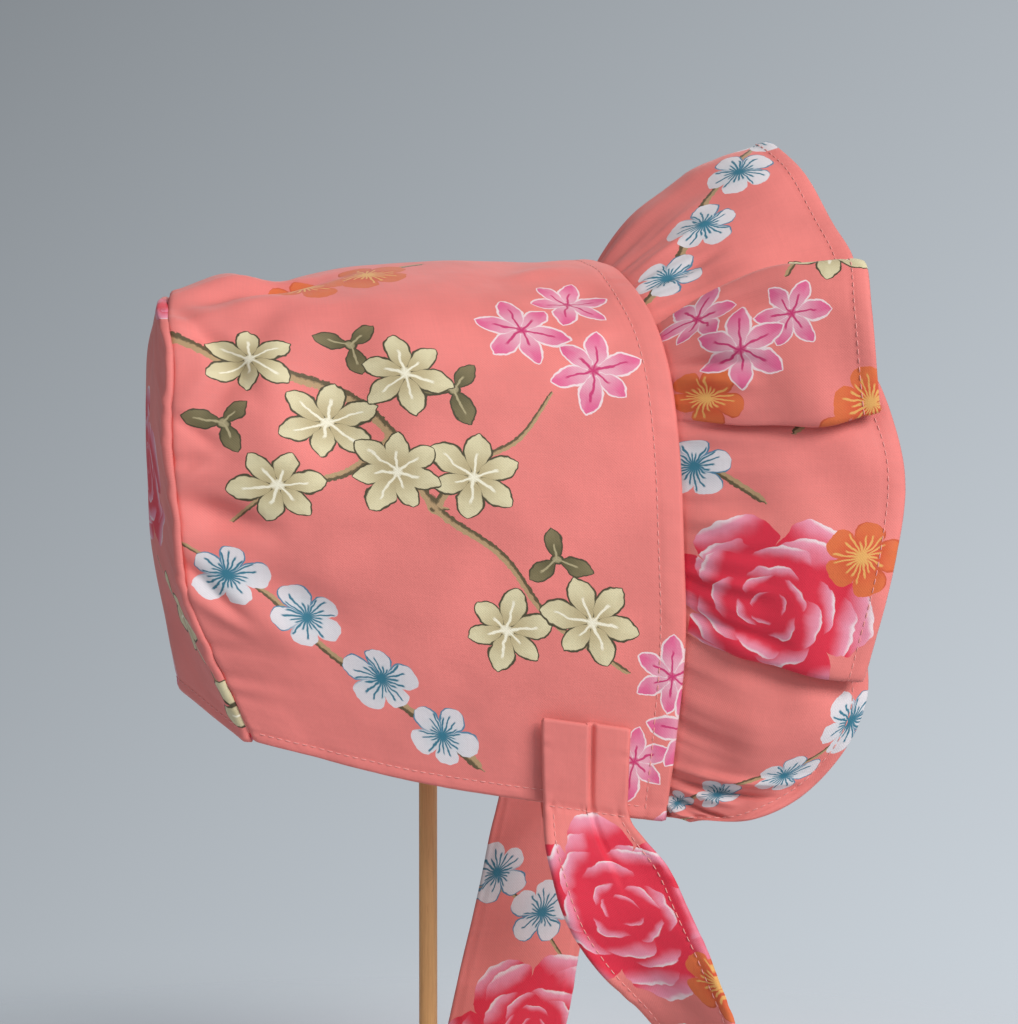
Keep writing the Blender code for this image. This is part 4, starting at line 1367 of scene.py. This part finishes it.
def brim_surface(knots, rows, columns):
    """Rows of the brim from its tucked root to its outer edge. Each free line is a bow, with
    weights of a parabola, from the crown's front edge through a point that stands out from the
    head to the outer edge."""
    values = spline(knots, rows, columns)
    arch = BRIM_END_ARCH + np.interp(columns, knots, rows[:, 0]) * (1.0 - BRIM_END_ARCH)
    edge = values[:, 1:4] * MM
    stand_out = values[:, 4:5] * MM
    droop = values[:, 5:6] * MM * (0.0, 0.0, -1.0)
    root, mouth = (place - normal * (CROWN_WALL + BRIM_CLEARANCE) for place, normal in (
        crown_frame(arch, BRIM_TUCKED / CROWN_LENGTH), crown_frame(arch, 0.0)))
    outward = away_from_head(mouth)
    middle = (mouth + edge) / 2.0 + (outward * stand_out + droop) * 2.0
    tucked = np.linspace(0.0, 1.0, BRIM_TUCKED_ROWS, endpoint=False)[:, None, None]
    reach = np.linspace(0.0, 1.0, BRIM_FREE_ROWS + 1)[:, None, None]
    free = mouth * (1.0 - reach) ** 2 + middle * 2.0 * reach * (1.0 - reach) + edge * reach ** 2
    return np.concatenate((root * (1.0 - tucked) + mouth * tucked, free)), arch


brim_knots, brim_rows = brim_profile()
knots_fine = np.linspace(brim_knots[0], brim_knots[-1], BRIM_EDGE_SAMPLES)
edge_ways = way_along(spline(brim_knots, brim_rows[:, 1:4], knots_fine))
brim_columns = np.interp(rows_close_at_ends(edge_ways[-1], CLOTH_STEP, FINE_STEP, 4.0),
                         edge_ways, knots_fine)
brim_edge_way = np.interp(brim_columns, knots_fine, edge_ways) - edge_ways[-1] / 2.0
brim_base, brim_arch = brim_surface(brim_knots, brim_rows, brim_columns)
brim_reach = np.concatenate((np.linspace(-BRIM_TUCKED, 0.0, BRIM_TUCKED_ROWS, endpoint=False),
                             np.linspace(0.0, BRIM_WIDTH, BRIM_FREE_ROWS + 1)))
brim_flat = np.stack(np.broadcast_arrays(brim_edge_way[None], brim_reach[:, None]), axis=-1)
free_share = np.clip(brim_flat[..., 1] / BRIM_WIDTH, 0.0, 1.0)
root_way = np.interp(brim_arch, arch_fine, ways_fine)
leaves_root = 1.0 - np.exp(-free_share / BRIM_GATHERS_FROM)
brim_height = np.zeros(free_share.shape)
for seed, pitch, height, reach_share, fade_power in BRIM_GATHERS:
    gathers = height * puckers(root_way, seed, pitch)[None] * leaves_root
    brim_height += gathers * np.exp(-((free_share / reach_share) ** fade_power))
brim_drape = soft_waves(brim_flat, seed=33, length=34.0, height=0.7)
brim_height += brim_drape * smooth_step(0.05, 0.4, free_share)
half_flat = np.stack((np.abs(brim_flat[..., 0]), brim_flat[..., 1]), axis=-1)
brim_height += creases(half_flat, BRIM_CREASES)
from_edge = (1.0 - free_share) * BRIM_WIDTH
edge_wavers = 0.8 + 0.6 * puckers(brim_flat[..., 0], seed=34, pitch=8.0)
brim_height += folded_hem(from_edge, BRIM_STITCH_IN) * edge_wavers
hem_ends = np.minimum(brim_edge_way - brim_edge_way[0], brim_edge_way[-1] - brim_edge_way)
brim_height *= smooth_step(0.0, 6.0, hem_ends)[None]
brim, brim_face = sew_piece(
    "brim_cotton", brim_base, brim_height, BRIM_WALL, brim_flat, BRIM_ROLLS, 1.0,
    BRIM_CUT, printed_cotton("brim_cotton", CORAL, 0.0))
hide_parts("brim")

free_lengths = np.linalg.norm(np.diff(brim_base[BRIM_TUCKED_ROWS:], axis=0), axis=2).sum(axis=0)
stitch_row = (len(brim_reach) - 1.0) - BRIM_STITCH_IN * MM / free_lengths * BRIM_FREE_ROWS
stitch_column = np.arange(len(brim_columns), dtype=float)
stitched = slice(BRIM_STITCH_ENDS, -BRIM_STITCH_ENDS)
brim_stitches = sew_along("brim_topstitch", brim_face,
                          [(stitch_row[stitched], stitch_column[stitched])])

# Ties: two narrow double strips of the cotton. The upper end of each is laid in two pleats and
# sewn to the outside of the crown above the hem, and the rest hangs, turning as it falls.

TIE_WALL = 1.6 * MM
TIE_LIFT = 0.8 * MM
TIE_STEP = 0.85
TIE_STITCH_IN = 3.4
TIE_FREE = (26.0, 50.0)
TIE_NECK_DEPTH = 0.7
TIE_NECK_WIDTH = 1.6
TIE_SIDE_POINTS = 300
TIE_END_POINTS = 80
TIE_ROLLS = (0.3, 0.3, 0.45, 0.45)
PLEAT_FROM = 0.525
PLEAT_TO = 0.545
PLEAT_GROOVE = 1.6 / 2.2
PLEAT_GROOVE_WIDTH = 0.03
PLEATS_END = 28.0
TIE_SEWN = (
    # arch, front_depth, back_depth, pleat_step
    (0.126, 0.105, 0.292, 2.2),
    (0.085, 0.103, 0.292, 2.2),
    (0.045, 0.100, 0.291, 2),
    (0.008, 0.094, 0.290, 1.6),
)
TIE_RIGHT_HANG = (
    # back_x, back_y, back_z, front_x, front_y, front_z, pleat_step, cup
    (32, 61, 117, 62, 61.5, 118.5, 1, 0.5),
    (34.4, 62, 106, 68.5, 64, 110.5, 0.4, 1.5),
    (38.5, 61.5, 93, 74.5, 66.5, 97.5, 0, 2.5),
    (46.5, 59, 79.5, 80.5, 69.5, 83.5, 0, 3),
    (57, 55.5, 68, 85.8, 72, 69, 0, 3),
    (67, 51, 58, 89.5, 74, 55.5, 0, 2.5),
    (76, 46.5, 46.5, 93, 74, 41.5, 0, 2),
    (83, 42.5, 34, 96.5, 72, 27.5, 0, 1.5),
)
TIE_LEFT_HANG = (
    # back_x, back_y, back_z, front_x, front_y, front_z, pleat_step, cup
    (30.8, 60.5, 117, 60, 61.5, 118, 1, 0.5),
    (28, 61, 105, 62.5, 62.5, 106.5, 0.4, 1.5),
    (25, 60.5, 90.5, 62.5, 62.5, 92.5, 0, 2),
    (21.3, 59.5, 74.5, 60.3, 61.5, 75.5, 0, 2.5),
    (17.3, 58.5, 58.5, 56.8, 60.5, 57.5, 0, 2),
    (13.3, 57.5, 41, 53.2, 59.5, 39, 0, 2),
    (10, 56.5, 27, 50.5, 58.5, 25, 0, 1.5),
)


def tie_surface(side, hang_rows):
    """Outer face of a tie and its flat places: straight lines across from its back edge to its
    front one, carried down a curve through the table's rows. The pleat is a step with a groove
    beside it, and the cup is a sine."""
    sections = []
    for arch, front_depth, back_depth, pleat_step in TIE_SEWN:
        edges, out = crown_frame(np.array([arch if side < 0.0 else 2.0 - arch] * 2),
                                 np.array([back_depth, front_depth]))
        edges = edges + out * (TIE_WALL + TIE_LIFT)
        sections.append(np.concatenate((edges[0], edges[1], [pleat_step * MM, 0.0])))
    for row in hang_rows:
        values = np.array(row) * MM
        values[[1, 4]] *= side
        sections.append(values)
    sections = np.array(sections)
    centres = (sections[:, 0:3] + sections[:, 3:6]) / 2.0
    ways = way_along(centres)
    downs = rows_close_at_ends(ways[-1] / MM, TIE_STEP, FINE_STEP, 4.0)
    rows = spline(ways / MM, sections, downs)
    back, front = rows[:, None, 0:3], rows[:, None, 3:6]
    pleat, cup = rows[:, None, 6:7], rows[:, None, 7:8]
    width = float(np.linalg.norm(sections[:, 3:6] - sections[:, 0:3], axis=1).max()) / MM
    acrosses = rows_close_at_ends(width, TIE_STEP, FINE_STEP, 4.0)
    across = (acrosses / width)[None, :, None]
    down = np.gradient((back + front) / 2.0, axis=0)
    outward = unit(np.cross(front - back, down)) * side
    stepped = 1.0 - smooth_step(PLEAT_FROM, PLEAT_TO, across)
    from_groove = (across - PLEAT_TO - PLEAT_GROOVE_WIDTH) / PLEAT_GROOVE_WIDTH
    gap = np.exp(-(from_groove ** 2)) * PLEAT_GROOVE
    lift = pleat * (stepped - gap) - cup * np.sin(np.pi * across)
    flat = np.stack(np.broadcast_arrays(acrosses[None], downs[:, None]), axis=-1)
    return back + (front - back) * across + outward * lift, flat


for side_name, side, hang_rows, cut_at, seed in (
        ("right", -1.0, TIE_RIGHT_HANG, (172.0, -24.0), 41),
        ("left", 1.0, TIE_LEFT_HANG, (224.0, 34.0), 51)):
    tie_base, tie_flat = tie_surface(side, hang_rows)
    tie_width, tie_length = tie_flat[-1, -1]
    over, down = np.moveaxis(tie_flat, -1, 0)
    in_from_side = np.minimum(over, tie_width - over)
    in_from_end = np.minimum(down, tie_length - down)
    tie_height = folded_hem(np.minimum(in_from_side, in_from_end), TIE_STITCH_IN) * (
        0.8 * smooth_step(PLEATS_END - 6.0, PLEATS_END, down))
    drawn_in = 1.0 + 0.5 * puckers(over, seed=seed + 2, pitch=5.0)
    neck = np.exp(-(((down - PLEATS_END) / TIE_NECK_WIDTH) ** 2))
    tie_height -= TIE_NECK_DEPTH * neck * drawn_in
    tie_drape = soft_waves(tie_flat, seed=seed, length=24.0, height=0.5)
    tie_height += tie_drape * smooth_step(*TIE_FREE, down)
    edge_puckers = puckers(down, seed=seed + 1, pitch=7.0)
    tie_height += 0.22 * edge_puckers * np.exp(-in_from_side / 4.0)
    tie, tie_face = sew_piece(
        "tie_cotton_" + side_name, tie_base, tie_height, TIE_WALL, tie_flat, TIE_ROLLS, 1.0,
        (cut_at, 0.0), printed_cotton("tie_cotton_" + side_name, CORAL, 0.0))
    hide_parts("tie_" + side_name)
    last_row, last_column = tie_flat.shape[0] - 1.0, tie_flat.shape[1] - 1.0
    hem_row = np.interp(PLEATS_END, tie_flat[:, 0, 1], np.arange(last_row + 1.0))
    stitched_rows = np.linspace(hem_row + 2.0, last_row - 5.0, TIE_SIDE_POINTS)
    near_column = np.interp(TIE_STITCH_IN, tie_flat[0, :, 0], np.arange(last_column + 1.0))
    end_row = np.interp(tie_length - TIE_STITCH_IN, tie_flat[:, 0, 1], np.arange(last_row + 1.0))
    end_columns = np.linspace(near_column, last_column - near_column, TIE_END_POINTS)
    pleat_columns = np.linspace(1.5, last_column - 1.5, TIE_END_POINTS)
    tie_stitches = sew_along("tie_topstitch_" + side_name, tie_face, (
        (stitched_rows, near_column), (stitched_rows, last_column - near_column),
        (end_row, end_columns), (hem_row, pleat_columns)))

# Studio: a plain pale floor that fades into a plain pale surround, one large soft light from the
# front right and a weaker one from the left, and the camera at the photograph's angle.

FLOOR_RADIUS = 6.0
FLOOR_SIDES = 96
FLOOR_BELOW = 0.2 * MM
FLOOR_COLOUR = (0.69, 0.72, 0.76)
SURROUND_MIDDLE = (0.400, 0.435, 0.470)
SURROUND_DIMMEST = 0.55
SURROUND_BRIGHTEST = 1.50
CAMERA_AZIMUTH = np.radians(-6.5)
CAMERA_ELEVATION = np.radians(2.0)
CAMERA_DISTANCE = 1.07
CAMERA_TARGET = Vector((0.0269, 0.0, 0.2190))
FOCAL_PIXELS = 3242.0
FRAME_PIXELS = 1024.0
SENSOR_WIDTH = 36.0
LIGHTS_AIM = Vector((0.02, 0.0, 0.20))


def floor_mesh():
    """Flat disc facing up: one face with its corners on a circle, just under the stand."""
    angles = np.linspace(0.0, FULL_TURN, FLOOR_SIDES, endpoint=False)
    points = np.stack((FLOOR_RADIUS * np.cos(angles), FLOOR_RADIUS * np.sin(angles),
                       0.0 * angles - FLOOR_BELOW), axis=-1)
    mesh = bpy.data.meshes.new("studio_floor")
    mesh.from_pydata(points.tolist(), [], [list(range(FLOOR_SIDES))])
    return mesh


def floor_material():
    """Pale matt floor, clear at its far edge so that it melts into the surround."""
    finish, tree, shader = new_finish("studio_floor")
    _, step, blend, noise = tools_for(tree)
    place = tree.nodes.new("ShaderNodeTexCoord").outputs["Object"]
    x, y, _ = separate(tree, place)
    pale = [part * 1.03 for part in FLOOR_COLOUR]
    speckle = noise(place, 40.0)
    plug(tree, blend(speckle, FLOOR_COLOUR, pale), shader["Base Color"])
    shader["Roughness"].default_value = 0.9
    plug(tree, step(distance_of(tree, x, y), 0.12, 0.50, 1.0, 0.0), shader["Alpha"])
    return finish


floor = bpy.data.objects.new("studio_floor", floor_mesh())
floor.data.materials.append(floor_material())
bpy.context.scene.collection.objects.link(floor)

world = bpy.data.worlds.new("studio_surround")
world.use_nodes = True
bpy.context.scene.world = world
surround = world.node_tree
direction = surround.nodes.new("ShaderNodeTexCoord").outputs["Generated"]
to_right, _, to_up = separate(surround, direction)
lean = maths(surround, "MULTIPLY_ADD", to_right, 1.35, 0.845)
lean = maths(surround, "MULTIPLY_ADD", to_up, -1.5, lean)
lean = maths(surround, "MINIMUM", maths(surround, "MAXIMUM", lean, SURROUND_DIMMEST),
             SURROUND_BRIGHTEST)
plug(surround, vector_maths(surround, "MULTIPLY", SURROUND_MIDDLE, lean),
     surround.nodes["Background"].inputs["Color"])

for light_name, place, size, power, tint in (
        ("key_softbox", (1.20, -1.65, 1.40), 1.2, 50.0, (1.0, 0.975, 0.96)),
        ("fill_softbox", (-1.3, -1.5, 0.7), 1.3, 6.0, (0.95, 0.98, 1.0)),
        ("back_softbox", (0.2, 1.6, 1.6), 1.2, 9.0, (1.0, 0.98, 0.96))):
    light = bpy.data.lights.new(light_name, "AREA")
    light.shape = "DISK"
    light.size = size
    light.energy = power
    light.color = tint
    holder = bpy.data.objects.new(light_name, light)
    holder.location = place
    aim = LIGHTS_AIM - Vector(place)
    holder.rotation_euler = aim.to_track_quat("-Z", "Y").to_euler()
    bpy.context.scene.collection.objects.link(holder)

camera = bpy.data.cameras.new("photograph_view")
camera.sensor_fit = "AUTO"
camera.sensor_width = SENSOR_WIDTH
camera.lens = FOCAL_PIXELS / FRAME_PIXELS * SENSOR_WIDTH
viewpoint = bpy.data.objects.new("photograph_view", camera)
to_eye = Vector((np.sin(CAMERA_AZIMUTH) * np.cos(CAMERA_ELEVATION),
                 -np.cos(CAMERA_AZIMUTH) * np.cos(CAMERA_ELEVATION), np.sin(CAMERA_ELEVATION)))
rightward = Vector((np.cos(CAMERA_AZIMUTH), np.sin(CAMERA_AZIMUTH), 0.0))
upward = to_eye.cross(rightward)
stand_at = Matrix((rightward, upward, to_eye)).transposed().to_4x4()
stand_at.translation = CAMERA_TARGET + to_eye * CAMERA_DISTANCE
viewpoint.matrix_world = stand_at
bpy.context.scene.collection.objects.link(viewpoint)
bpy.context.scene.camera = viewpoint
bpy.context.scene.view_settings.view_transform = "Standard"
